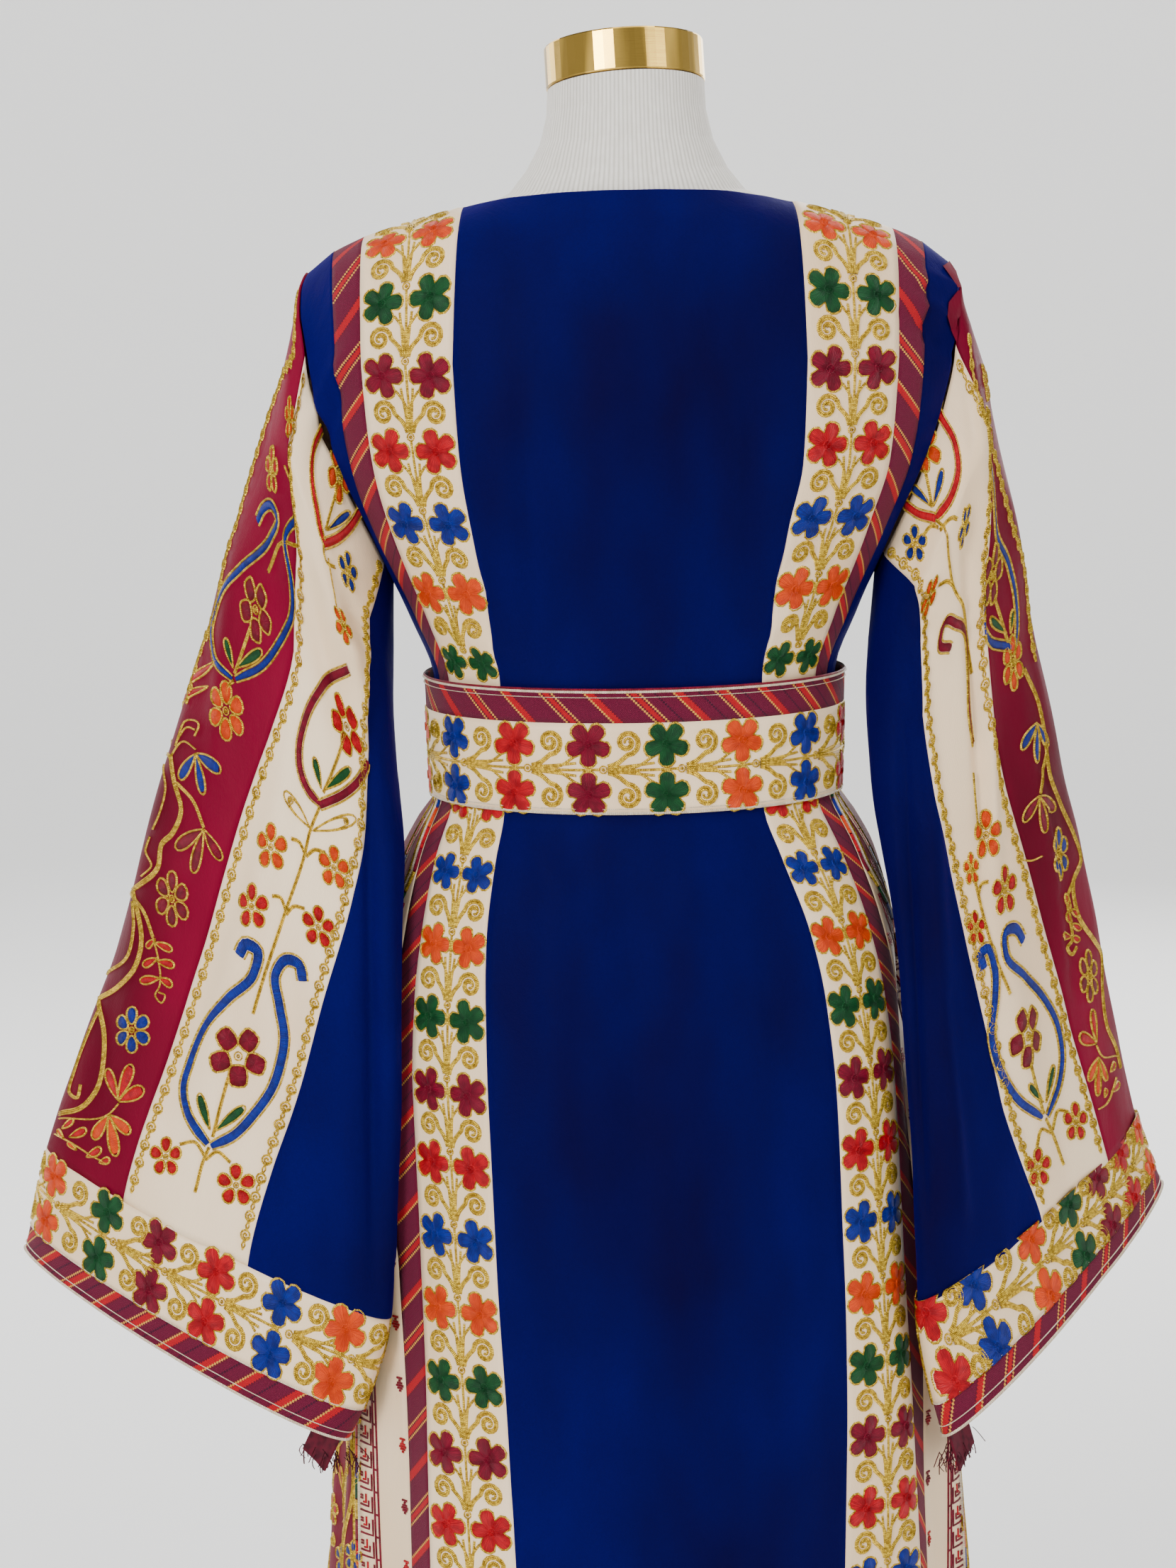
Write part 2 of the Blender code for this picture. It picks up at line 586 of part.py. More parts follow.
def material(name, finish):
    """A material of the piece's own."""
    colour, roughness, metallic = COLOURS[finish]
    made = bpy.data.materials.new(name + "_finish")
    made.use_nodes = True
    shader = made.node_tree.nodes["Principled BSDF"]
    shader.inputs["Base Color"].default_value = (*colour, 1.0)
    shader.inputs["Roughness"].default_value = roughness
    shader.inputs["Metallic"].default_value = metallic
    made.diffuse_color = (*colour, 1.0)
    return made


def place(placed, name, finish):
    """Names an object, gives it its material and puts it in the garment's collection."""
    placed.name = placed.data.name = name
    placed.data.materials.append(material(name, finish))
    for holder in list(placed.users_collection):
        holder.objects.unlink(placed)
    bpy.data.collections[GROUP].objects.link(placed)
    placed.data.shade_smooth()
    return placed


def laid_grid(work, rows):
    """Adds a grid laid on rows of points, and returns its vertices."""
    made = bmesh.ops.create_grid(work, x_segments=len(rows[0]) - 1, y_segments=len(rows) - 1, size=1.0)
    for vert, point in zip(made["verts"], (p for row in rows for p in row)):
        vert.co = point
    return made["verts"]


def as_object(work, name, finish):
    mesh = bpy.data.meshes.new(name)
    work.to_mesh(mesh)
    work.free()
    return place(bpy.data.objects.new(name, mesh), name, finish)


def cloth(name, finish, make_rows, *sizes):
    """A wall of cloth between rows of points of its outer and its inner face, which keep neighbouring
    pieces parallel at their seams. A row that ends where it starts is joined there."""
    work = bmesh.new()
    rows = make_rows(*sizes, 0.0)
    outer = laid_grid(work, rows)
    inner = laid_grid(work, make_rows(*sizes, CLOTH))
    bmesh.ops.triangulate(work, faces=work.faces, quad_method="FIXED")
    work.verts.index_update()
    for edge in [e for e in work.edges if e.is_boundary and e.verts[0].index < len(outer)]:
        a, b = (vert.index for vert in edge.verts)
        joined = rows[0][0] == rows[0][-1] and (a - b) % len(rows[0]) == 0
        if not joined:
            work.faces.new((outer[a], outer[b], inner[b], inner[a]))
    bmesh.ops.remove_doubles(work, verts=work.verts, dist=1e-6)
    bmesh.ops.recalc_face_normals(work, faces=work.faces)
    if work.calc_volume(signed=True) < 0:
        bmesh.ops.reverse_faces(work, faces=work.faces)
    return as_object(work, name, finish)


def build_body():
    cloth("back_centre", "velvet", strip_rows, "back", (-1, "centre"), (1, "centre"), 8)
    cloth("front_centre", "velvet", strip_rows, "front", (1, "centre"), (-1, "centre"), 10)
    for side, tag in SIDES:
        for face in ("back", "front"):
            cloth(f"cream_band_{face}_{tag}", "cream", strip_rows, face, (side, "centre"), (side, "band"), 3)
            cloth(f"stripe_band_{face}_{tag}", "stripe", strip_rows, face, (side, "band"), (side, "trim"), 1)
            cloth(f"key_panel_{face}_{tag}", "cream", skirt_rows, (face, side, "trim"), (face, side, "key"), 2)
        cloth(f"side_panel_{tag}", "burgundy", skirt_rows, ("back", side, "key"), ("front", side, "key"), 10)
        cloth(f"bodice_side_{tag}", "velvet", bodice_side_rows, side)


def build_sleeves():
    trim = CUFF_TRIM_ROW - CUFF_GAP_ROWS
    for side, tag in SIDES:
        cloth(f"sleeve_top_{tag}", "burgundy", sleeve_rows, side, "top", 6)
        cloth(f"sleeve_cream_back_{tag}", "cream", sleeve_rows, side, "cream_back", 3)
        cloth(f"sleeve_cream_front_{tag}", "cream", sleeve_rows, side, "cream_front", 3)
        cloth(f"sleeve_gore_{tag}", "velvet", sleeve_rows, side, "gore", 6)
        cloth(f"cuff_cream_{tag}", "cream", cuff_rows, side, CUFF_ROW + CUFF_GAP_ROWS, trim, 2)
        cloth(f"cuff_stripe_{tag}", "stripe", cuff_rows, side, trim + 2 * CUFF_GAP_ROWS, CUFF_TRIM_ROW + 1.0, 1)
        cloth(f"seam_tail_{tag}", "burgundy", tail_rows, side)


def build_belt():
    cloth("belt_cream", "cream", belt_rows, BELT_BOTTOM_Z, BELT_SEAM_Z - SEAM / 2, 2)
    cloth("belt_stripe", "stripe", belt_rows, BELT_SEAM_Z + SEAM / 2, BELT_TOP_Z, 1)


def cylinder(name, radius, bottom, top, finish, sides, edge=0.0):
    bpy.ops.mesh.primitive_cylinder_add(vertices=sides, radius=radius, depth=top - bottom,
                                        location=(0.0, 0.0, (bottom + top) / 2))
    placed = place(bpy.context.active_object, name, finish)
    if edge:
        bevel = placed.modifiers.new("edge", "BEVEL")
        bevel.width = edge
        bevel.segments = 2
        bevel.limit_method = "ANGLE"
    placed.data.set_sharp_from_angle(angle=math.radians(40))
    return placed


def build_form():
    work = bmesh.new()
    laid_grid(work, form_rows())
    bmesh.ops.remove_doubles(work, verts=work.verts, dist=1e-6)
    bmesh.ops.holes_fill(work, edges=[e for e in work.edges if e.is_boundary], sides=0)
    bmesh.ops.recalc_face_normals(work, faces=work.faces)
    as_object(work, "form_torso", "linen")
    cap = cylinder("form_neck_cap", CAP_RADIUS, 0.0, CAP_HEIGHT, "gold", 48, 0.0012)
    cap.rotation_euler = (-CAP_FORWARD, -CAP_SIDEWAYS, 0.0)
    rise = CAP_HEIGHT / 2
    cap.location = (-rise * math.sin(CAP_SIDEWAYS), NECK_CENTRE_Y + rise * math.sin(CAP_FORWARD),
                    CAP_BASE_Z + rise * math.cos(CAP_FORWARD))
    cylinder("form_pole", POLE_RADIUS, BASE_TOP_Z + TOUCH, FORM_BOTTOM_Z - TOUCH, "steel", 20)
    cylinder("form_base", BASE_RADIUS, 0.0, BASE_TOP_Z, "steel", 56, 0.0025)


def main():
    for old in list(bpy.data.objects):
        bpy.data.objects.remove(old, do_unlink=True)
    bpy.context.scene.collection.children.link(bpy.data.collections.new(GROUP))
    build_body()
    build_sleeves()
    build_belt()
    build_form()


main()
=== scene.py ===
# Looks of the long-sleeved thobe dress and its belt, on a limbless dress form.
# Metres, +Z up. The back of the dress, which the photograph shows, faces -Y.
import math

import bmesh
import bpy
import numpy as np
from mathutils import Matrix, Vector, noise


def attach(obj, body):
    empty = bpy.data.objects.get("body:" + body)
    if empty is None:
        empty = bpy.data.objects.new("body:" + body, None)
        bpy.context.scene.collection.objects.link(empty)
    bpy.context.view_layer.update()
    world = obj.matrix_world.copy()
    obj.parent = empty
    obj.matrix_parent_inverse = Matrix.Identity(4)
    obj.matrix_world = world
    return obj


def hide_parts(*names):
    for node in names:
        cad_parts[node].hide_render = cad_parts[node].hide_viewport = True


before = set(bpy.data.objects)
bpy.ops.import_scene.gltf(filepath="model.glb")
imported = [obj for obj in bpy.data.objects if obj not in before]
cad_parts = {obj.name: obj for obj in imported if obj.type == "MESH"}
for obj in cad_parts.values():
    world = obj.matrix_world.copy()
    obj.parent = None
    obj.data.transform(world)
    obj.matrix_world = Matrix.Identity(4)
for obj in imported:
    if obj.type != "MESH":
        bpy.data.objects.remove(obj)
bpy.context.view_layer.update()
sides = ((-1, "l"), (1, "r"))   # left and right as seen from the back
print("frame loaded")


# Camera, light and floor

studio = {
    "camera": (-0.032, -2.05, 1.40), "down": 9.6, "roll": -1.0, "focal": 4400 / 2212 * 36,
    "wallRadius": 7.0, "cornerRadius": 1.6, "wallTop": 5.0, "world": 0.50,
}
lamps = (   # name, place, aim, size, watts
    ("key", (-2.3, -3.6, 2.9), (0, 0, 1.15), 1.3, 165),
    ("fill", (3.0, -3.0, 1.7), (0, 0, 1.1), 2.2, 55),
    ("top", (0.3, -0.4, 4.2), (0, 0, 1.0), 2.0, 60),
    ("behind", (1.5, 3.6, 2.6), (0, 0, 1.1), 2.4, 100),
    ("wall", (0, 2.6, 4.2), (0, 7.0, 1.2), 2.4, 150),
    ("behindLeft", (-3.0, 2.6, 2.0), (0, 0, 1.0), 2.0, 60),
)


def addCamera():
    camera = bpy.data.objects.new("photoCamera", bpy.data.cameras.new("photoCamera"))
    bpy.context.scene.collection.objects.link(camera)
    camera.data.sensor_width = 36
    camera.data.lens = studio["focal"]
    camera.data.clip_end = 60
    tilt = Matrix.Rotation(math.radians(90 - studio["down"]), 4, "X")
    camera.matrix_world = Matrix.Translation(studio["camera"]) @ tilt @ Matrix.Rotation(
        math.radians(studio["roll"]), 4, "Z")
    bpy.context.scene.camera = camera


def addLamps():
    for name, place, aim, size, watts in lamps:
        lamp = bpy.data.lights.new(name + "Lamp", "AREA")
        lamp.shape = "RECTANGLE"
        lamp.size = size
        lamp.size_y = size * 1.4
        lamp.energy = watts
        holder = bpy.data.objects.new(name + "Lamp", lamp)
        holder.location = place
        holder.rotation_euler = (Vector(aim) - Vector(place)).to_track_quat("-Z", "Y").to_euler()
        bpy.context.scene.collection.objects.link(holder)
    world = bpy.data.worlds.new("studioWorld")
    world.use_nodes = True
    world.node_tree.nodes["Background"].inputs["Color"].default_value = (0.93, 0.95, 1.0, 1)
    world.node_tree.nodes["Background"].inputs["Strength"].default_value = studio["world"]
    bpy.context.scene.world = world


def addFloor():
    work = bmesh.new()
    corner, radius = studio["cornerRadius"], studio["wallRadius"]
    profile = [work.verts.new((0.001, 0, 0)), work.verts.new((radius - corner, 0, 0))]
    for i in range(1, 9):
        turn = math.pi / 2 * i / 8
        out, up = radius - corner + corner * math.sin(turn), corner - corner * math.cos(turn)
        profile.append(work.verts.new((out, 0, up)))
    profile.append(work.verts.new((radius, 0, studio["wallTop"])))
    edges = [work.edges.new(pair) for pair in zip(profile, profile[1:])]
    bmesh.ops.spin(work, geom=profile + edges, axis=(0, 0, 1), cent=(0, 0, 0), angle=2 * math.pi,
                   steps=72, use_merge=True)
    for face in work.faces:
        face.smooth = True
    mesh = bpy.data.meshes.new("paleFloor")
    work.to_mesh(mesh)
    work.free()
    floor = bpy.data.objects.new("paleFloor", mesh)
    bpy.context.scene.collection.objects.link(floor)
    finish = bpy.data.materials.new("paleFloor")
    finish.use_nodes = True
    finish.node_tree.nodes["Principled BSDF"].inputs["Base Color"].default_value = (0.90, 0.895, 0.88, 1)
    finish.node_tree.nodes["Principled BSDF"].inputs["Roughness"].default_value = 0.9
    mesh.materials.append(finish)


addCamera()
addLamps()
addFloor()
print("camera, lamps and floor made")


# Shape of the worn dress, the same named sizes as the solids

cut = {
    "hemZ": 0.040, "sideSeamTopZ": 1.088, "underarmZ": 1.190, "yokeZ": 1.335, "neckBackZ": 1.4405,
    "neckFrontZ": 1.410, "neckSideZ": 1.4325, "neckHalf": 0.104, "keyWidth": 0.045, "keyWaistShare": 0.20,
    "keyZ": (0.90, 1.08), "armholeTopZ": 1.3935, "armholeDepth": 0.038, "foldStartZ": 1.020,
    "foldGrowth": 1.35, "wall": 0.0014, "step": 0.006,
}
bodyTable = np.array((   # height, half width, depth of the back, depth of the front
    (0.040, 0.250, 0.215, 0.205), (0.300, 0.234, 0.192, 0.182), (0.500, 0.2195, 0.170, 0.162),
    (0.600, 0.212, 0.160, 0.152), (0.760, 0.196, 0.146, 0.138), (0.880, 0.183, 0.136, 0.127),
    (0.960, 0.171, 0.126, 0.118), (1.010, 0.158, 0.114, 0.108), (1.034, 0.1455, 0.1055, 0.1030),
    (1.051, 0.1340, 0.0980, 0.0975), (1.075, 0.1315, 0.0955, 0.0960), (1.100, 0.131, 0.0950, 0.096),
    (1.130, 0.133, 0.0955, 0.100), (1.165, 0.146, 0.098, 0.110), (1.190, 0.157, 0.101, 0.120),
    (1.220, 0.174, 0.104, 0.127), (1.260, 0.197, 0.106, 0.126), (1.300, 0.213, 0.106, 0.119),
    (1.335, 0.219, 0.104, 0.110), (1.360, 0.219, 0.100, 0.103), (1.380, 0.215, 0.095, 0.096),
    (1.395, 0.205, 0.090, 0.089), (1.406, 0.190, 0.0855, 0.083), (1.416, 0.168, 0.081, 0.078),
    (1.425, 0.136, 0.077, 0.073), (1.434, 0.105, 0.072, 0.068), (1.442, 0.084, 0.068, 0.064),
    (1.452, 0.070, 0.063, 0.059), (1.466, 0.060, 0.058, 0.055), (1.500, 0.0520, 0.0545, 0.0475),
))
stripTable = np.array((   # height; half the centre panel, the band, the trim, the swing to +X
    (0.040, 0.118, 0.0660, 0.0200, 0.0300), (0.500, 0.110, 0.0655, 0.0200, 0.0230),
    (0.650, 0.114, 0.0630, 0.0200, 0.0225), (0.760, 0.116, 0.0625, 0.0200, 0.0190),
    (0.865, 0.117, 0.0625, 0.0200, 0.0150), (0.925, 0.114, 0.0600, 0.0190, 0.0110),
    (0.970, 0.108, 0.0550, 0.0180, 0.0060), (1.020, 0.095, 0.0500, 0.0165, -0.0005),
    (1.050, 0.087, 0.0480, 0.0160, -0.0030), (1.130, 0.087, 0.0480, 0.0160, -0.0040),
    (1.170, 0.092, 0.0540, 0.0180, -0.0040), (1.200, 0.097, 0.0600, 0.0195, -0.0035),
    (1.230, 0.102, 0.0630, 0.0200, -0.0030), (1.270, 0.109, 0.0640, 0.0205, -0.0010),
    (1.335, 0.112, 0.0640, 0.0205, -0.0010),
))
shoulderX = {"centre": 0.105, "band": 0.170, "trim": 0.190}
skirtFolds = np.array((   # direction, half spread, depth at the hem
    (-140, 8, -0.017), (-126, 7, 0.010), (-112, 8, -0.018), (-97, 8, 0.012), (-82, 8, -0.020),
    (-66, 8, 0.012), (-50, 6, -0.014), (-34, 9, 0.006), (-12, 12, -0.005), (12, 12, 0.005),
    (34, 9, -0.005), (52, 7, 0.010), (64, 6, -0.018), (78, 8, 0.012), (94, 9, -0.020),
    (110, 8, 0.012), (126, 8, -0.018), (141, 8, 0.009), (160, 12, -0.007), (180, 11, 0.006),
))
beltTable = np.array(((1.0505, 0.1369, 0.1009, 0.1004), (1.1290, 0.1392, 0.0990, 0.1034)))
armholeMatch = np.array((   # height on the trim's edge, height on the armhole that it is joined to
    (1.088, 1.1970), (1.125, 1.2005), (1.160, 1.2065), (1.195, 1.2180), (1.230, 1.2390),
    (1.265, 1.2690), (1.300, 1.3010), (1.335, 1.3350), (1.4065, 1.3934),
))
sleeveTable = {   # outer edge xyz, underarm edge xyz, half thickness, ends of the burgundy and the cream
    -1: np.array((
        (-0.2250, 0.000, 1.3290, -0.1580, -0.010, 1.1520, 0.0500, 0.250, 0.890),
        (-0.2430, 0.000, 1.2800, -0.1584, -0.020, 1.1137, 0.0440, 0.420, 0.870),
        (-0.2665, 0.000, 1.2165, -0.1563, -0.032, 1.0637, 0.0390, 0.420, 0.840),
        (-0.2850, 0.000, 1.1540, -0.1532, -0.050, 1.0141, 0.0360, 0.370, 0.830),
        (-0.3045, 0.000, 1.0970, -0.1558, -0.063, 0.9665, 0.0350, 0.330, 0.800),
        (-0.3335, 0.000, 1.0030, -0.1591, -0.075, 0.9012, 0.0360, 0.295, 0.735),
        (-0.3510, 0.000, 0.9470, -0.1608, -0.078, 0.8557, 0.0370, 0.270, 0.695),
        (-0.3825, 0.000, 0.8680, -0.1639, -0.086, 0.7910, 0.0380, 0.258, 0.645),
        (-0.4040, 0.000, 0.8106, -0.1678, -0.094, 0.7179, 0.0390, 0.247, 0.610),
        (-0.4167, 0.000, 0.7573, -0.1860, -0.094, 0.6561, 0.0400, 0.247, 0.610),
        (-0.4210, 0.000, 0.7402, -0.1960, -0.094, 0.6356, 0.0400, 0.247, 0.610),
    )),
    1: np.array((
        (0.2300, 0.005, 1.3290, 0.1545, -0.010, 1.1492, 0.0500, 0.200, 0.790),
        (0.2433, 0.015, 1.2763, 0.1530, -0.020, 1.1106, 0.0450, 0.230, 0.725),
        (0.2592, 0.022, 1.2085, 0.1544, -0.032, 1.0606, 0.0400, 0.315, 0.710),
        (0.2673, 0.030, 1.1495, 0.1600, -0.045, 1.0156, 0.0380, 0.343, 0.715),
        (0.2805, 0.036, 1.0980, 0.1650, -0.055, 0.9726, 0.0380, 0.340, 0.690),
        (0.2964, 0.042, 1.0320, 0.1690, -0.066, 0.9133, 0.0390, 0.300, 0.640),
        (0.3103, 0.050, 0.9726, 0.1720, -0.074, 0.8629, 0.0400, 0.272, 0.617),
        (0.3242, 0.056, 0.9061, 0.1750, -0.082, 0.8071, 0.0410, 0.232, 0.590),
        (0.3493, 0.066, 0.8010, 0.1765, -0.092, 0.7195, 0.0420, 0.190, 0.485),
        (0.3619, 0.070, 0.7640, 0.1880, -0.092, 0.6523, 0.0420, 0.190, 0.485),
        (0.3671, 0.070, 0.7505, 0.1940, -0.092, 0.6296, 0.0420, 0.190, 0.485),
    )),
}
sleeveCut = {"start": 0.0008, "bulge": 0.016, "trimRow": 9, "armholeBurgundy": 0.26,
             "armholeCream": 0.93}
foldLines = (   # x and z at both ends, half width, height of the fold, on the photographed side
    (-0.204, 1.220, -0.176, 1.118, 0.0065, 0.0075),
    (-0.214, 1.196, -0.188, 1.096, 0.0075, -0.0060),
    (-0.176, 1.120, -0.168, 1.040, 0.0060, 0.0050),
    (-0.172, 1.120, -0.177, 0.740, 0.0045, -0.0065),
    (-0.162, 1.060, -0.166, 0.760, 0.0050, 0.0050),
    (-0.187, 0.960, -0.192, 0.740, 0.0100, 0.0040),
    (-0.215, 1.120, -0.262, 0.930, 0.0120, 0.0045),
    (-0.245, 1.060, -0.318, 0.850, 0.0140, -0.0040),
    (-0.225, 0.960, -0.232, 0.800, 0.0100, -0.0040),
    (-0.262, 0.960, -0.292, 0.830, 0.0120, 0.0040),
    (-0.262, 1.220, -0.276, 1.080, 0.0090, 0.0040),
    (-0.225, 1.240, -0.214, 1.170, 0.0070, 0.0040),
    (-0.196, 1.185, -0.176, 1.172, 0.0060, -0.0030),
    (-0.192, 1.155, -0.170, 1.146, 0.0060, 0.0026),
    (0.214, 1.350, 0.230, 1.200, 0.0060, 0.0060),
    (0.216, 1.215, 0.226, 1.020, 0.0045, -0.0070),
    (0.222, 1.190, 0.234, 0.990, 0.0055, 0.0060),
    (0.182, 1.160, 0.200, 0.930, 0.0055, 0.0050),
    (0.172, 1.100, 0.182, 0.780, 0.0045, -0.0060),
    (0.186, 1.040, 0.206, 0.780, 0.0055, 0.0055),
    (0.206, 1.020, 0.230, 0.820, 0.0090, -0.0040),
    (0.232, 0.980, 0.262, 0.820, 0.0100, 0.0040),
    (0.262, 1.060, 0.290, 0.900, 0.0100, 0.0040),
    (0.196, 0.880, 0.206, 0.760, 0.0080, 0.0040),
    (0.196, 1.196, 0.174, 1.180, 0.0060, 0.0030),
    (0.198, 1.160, 0.176, 1.150, 0.0060, -0.0030),
    (-0.120, 1.170, -0.060, 1.135, 0.0070, 0.0026),
    (-0.128, 1.215, -0.075, 1.175, 0.0080, -0.0026),
    (0.112, 1.185, 0.050, 1.138, 0.0070, 0.0028),
    (0.128, 1.225, 0.070, 1.180, 0.0080, -0.0026),
    (-0.070, 1.330, -0.066, 1.140, 0.0045, -0.0030),
    (0.072, 1.320, 0.064, 1.140, 0.0045, -0.0030),
    (-0.030, 1.170, -0.026, 1.135, 0.0100, 0.0026),
    (0.018, 1.180, 0.020, 1.135, 0.0110, 0.0026),
    (0.176, 1.372, 0.210, 1.352, 0.0040, 0.0042),
    (0.172, 1.362, 0.208, 1.334, 0.0040, -0.0034),
    (0.180, 1.384, 0.212, 1.376, 0.0035, 0.0036),
    (-0.176, 1.350, -0.206, 1.300, 0.0050, 0.0030),
    (-0.182, 1.330, -0.204, 1.270, 0.0050, -0.0030),
    (-0.060, 1.030, -0.052, 0.860, 0.0120, 0.0036),
    (0.030, 1.030, 0.050, 0.800, 0.0140, 0.0036),
    (-0.010, 1.020, -0.004, 0.760, 0.0140, -0.0036),
    (0.078, 1.020, 0.092, 0.860, 0.0100, -0.0034),
    (0.070, 1.034, 0.020, 0.985, 0.0080, 0.0024),
    (-0.074, 1.034, -0.030, 0.980, 0.0080, 0.0024),
    (-0.085, 0.900, -0.090, 0.620, 0.0130, 0.0036),
    (0.086, 0.860, 0.100, 0.600, 0.0130, 0.0036),
)


def curveAt(table, column, at):
    # a smooth value between the rows of a table
    keys, vals = table[:, 0], table[:, column]
    slopes = np.diff(vals) / np.diff(keys)
    before, after = slopes[:-1], slopes[1:]
    together = np.where(before + after == 0, 1, before + after)
    inner = np.where(before * after > 0, 2 * before * after / together, 0)
    tangents = np.concatenate([[slopes[0]], inner, [slopes[-1]]])
    at = np.clip(np.asarray(at, float), keys[0], keys[-1])
    k = np.clip(np.searchsorted(keys, at, side="right") - 1, 0, len(keys) - 2)
    step = keys[k + 1] - keys[k]
    t = (at - keys[k]) / step
    low = (1 + 2 * t) * (1 - t) ** 2 * vals[k] + t * (1 - t) ** 2 * step * tangents[k]
    return low + t * t * (3 - 2 * t) * vals[k + 1] - t * t * (1 - t) * step * tangents[k + 1]


def foldDepth(angles, z):
    # outward shift of the skirt's folds
    if z >= cut["foldStartZ"]:
        return np.zeros_like(angles)
    grown = ((cut["foldStartZ"] - z) / (cut["foldStartZ"] - cut["hemZ"])) ** cut["foldGrowth"]
    away = np.abs((angles[:, None] - skirtFolds[None, :, 0] + 180) % 360 - 180)
    spread = skirtFolds[None, :, 1]
    waves = skirtFolds[None, :, 2] * np.cos(np.pi * away / (4 * spread)) ** 2
    return grown * np.where(away < 2 * spread, waves, 0).sum(axis=1)


def ovalRow(table, angles, z, out):
    # points of a level section, in directions in degrees from the back towards +X
    half = curveAt(table, 1, z)
    turn = np.radians(angles)
    depth = np.where(np.cos(turn) > 0, curveAt(table, 2, z), curveAt(table, 3, z))
    nx, ny = depth * np.sin(turn), -half * np.cos(turn)
    size = np.hypot(nx, ny)
    return np.stack([half * np.sin(turn) + out * nx / size, -depth * np.cos(turn) + out * ny / size,
                     np.full_like(turn, z)], axis=1)


def bodyRow(angles, z, out=0.0):
    angles = np.asarray(angles, float)
    return ovalRow(bodyTable, angles, z, out + foldDepth(angles, z))


levels = {}


def levelAt(z):
    # distances round the body at a height, and the seams' places on them
    if z not in levels:
        angles = np.arange(-180.0, 180.5, 1.5)
        steps = np.linalg.norm(np.diff(bodyRow(angles, z), axis=0), axis=1)
        run = np.concatenate([[0.0], np.cumsum(steps)])
        run = run - np.interp(0.0, angles, run)
        half, band, trim, lean = (curveAt(stripTable, column, z) for column in (1, 2, 3, 4))
        low, high = cut["keyZ"]
        taper = min(1.0, max(cut["keyWaistShare"], (high - z) / (high - low)))
        widths = {"centre": half, "band": half + band, "trim": half + band + trim}
        widths["key"] = widths["trim"] + cut["keyWidth"] * taper
        seams = {}
        for name, width in widths.items():
            seams["back", 1, name] = width + lean
            seams["back", -1, name] = -width + lean
            seams["front", 1, name] = run[-1] - width + lean
            seams["front", -1, name] = -run[-1] + width + lean
        levels[z] = (angles, run, seams)
    return levels[z]


def anglesAt(z, places):
    angles, run = levelAt(z)[:2]
    whole = run[-1] - run[0]
    turns = np.floor((places - run[0]) / whole)
    return np.interp(places - turns * whole, run, angles) + 360 * turns


def shoulderZ(x):
    rows = bodyTable[bodyTable[:, 0] >= 1.38]
    return np.interp(np.abs(x), rows[::-1, 1], rows[::-1, 0])


def yokeRow(xLow, xTop, rise, face):
    x = xLow + (xTop - xLow) * rise
    low = cut["neckBackZ"] if face == "back" else cut["neckFrontZ"]
    neck = low + (cut["neckSideZ"] - low) * np.minimum(1, np.abs(xTop) / cut["neckHalf"]) ** 3
    shoulder = shoulderZ(xTop)
    top = np.where(np.abs(xTop) < cut["neckHalf"] + 0.0015, np.minimum(shoulder, neck), shoulder)
    z = cut["yokeZ"] + (top - cut["yokeZ"]) * math.sin(rise * math.pi / 2)
    half = curveAt(bodyTable, 1, z)
    depth = curveAt(bodyTable, 2 if face == "back" else 3, z)
    across = np.minimum(1, np.abs(x) / half)
    y = (-1 if face == "back" else 1) * np.maximum(0.0002, depth * np.sqrt(1 - across ** 2))
    return np.stack([x, y, z], axis=1)


def heightsBetween(low, high):
    return list(np.linspace(low, high, max(2, round((high - low) / cut["step"]) + 1)))


def stripGrid(face, fromSeam, toSeam, columns, top="shoulder"):
    # a strip of the body between two seams, from the hem up
    rows = []
    t = np.linspace(0, 1, columns + 1)
    for z in heightsBetween(cut["hemZ"], cut["yokeZ"] if top == "shoulder" else cut["sideSeamTopZ"]):
        z = float(z)
        seams = levelAt(z)[2]
        whole = levelAt(z)[1][-1] - levelAt(z)[1][0]
        a, b = seams[fromSeam], seams[toSeam]
        if top == "shoulder" and b - a > whole / 2:
            b -= whole
        if top == "shoulder" and a - b > whole / 2:
            a -= whole
        rows.append(bodyRow(anglesAt(z, a + (b - a) * t), z))
    if top == "shoulder":
        xTop = (1 - t) * fromSeam[1] * shoulderX[fromSeam[2]] + t * toSeam[1] * shoulderX[toSeam[2]]
        if fromSeam[2] == toSeam[2]:
            reach = abs(xTop[0])
            xTop = reach * np.sin(np.pi / 2 * xTop / reach)
        xLow = rows[-1][:, 0]
        for step in range(1, 19):
            rows.append(yokeRow(xLow, xTop, step / 18, face))
    return np.array(rows)


def armholePoint(turn, side, aside=0.0):
    radius = (cut["armholeTopZ"] - cut["underarmZ"]) / 2
    z = cut["underarmZ"] + radius + (radius - aside) * np.cos(np.radians(turn))
    y = -(cut["armholeDepth"] - aside) * np.sin(np.radians(turn))
    depth = np.where(y < 0, curveAt(bodyTable, 2, z), curveAt(bodyTable, 3, z))
    x = curveAt(bodyTable, 1, z) * np.sqrt(1 - (y / depth) ** 2)
    return np.stack([side * (x + aside), y, z], axis=-1)


def layOnBody(points):
    z = points[..., 2]
    half = curveAt(bodyTable, 1, z)
    depth = np.where(points[..., 1] < 0, curveAt(bodyTable, 2, z), curveAt(bodyTable, 3, z))
    scale = np.hypot(points[..., 0] / half, points[..., 1] / depth)
    return np.stack([points[..., 0] / scale, points[..., 1] / scale, points[..., 2]], axis=-1)


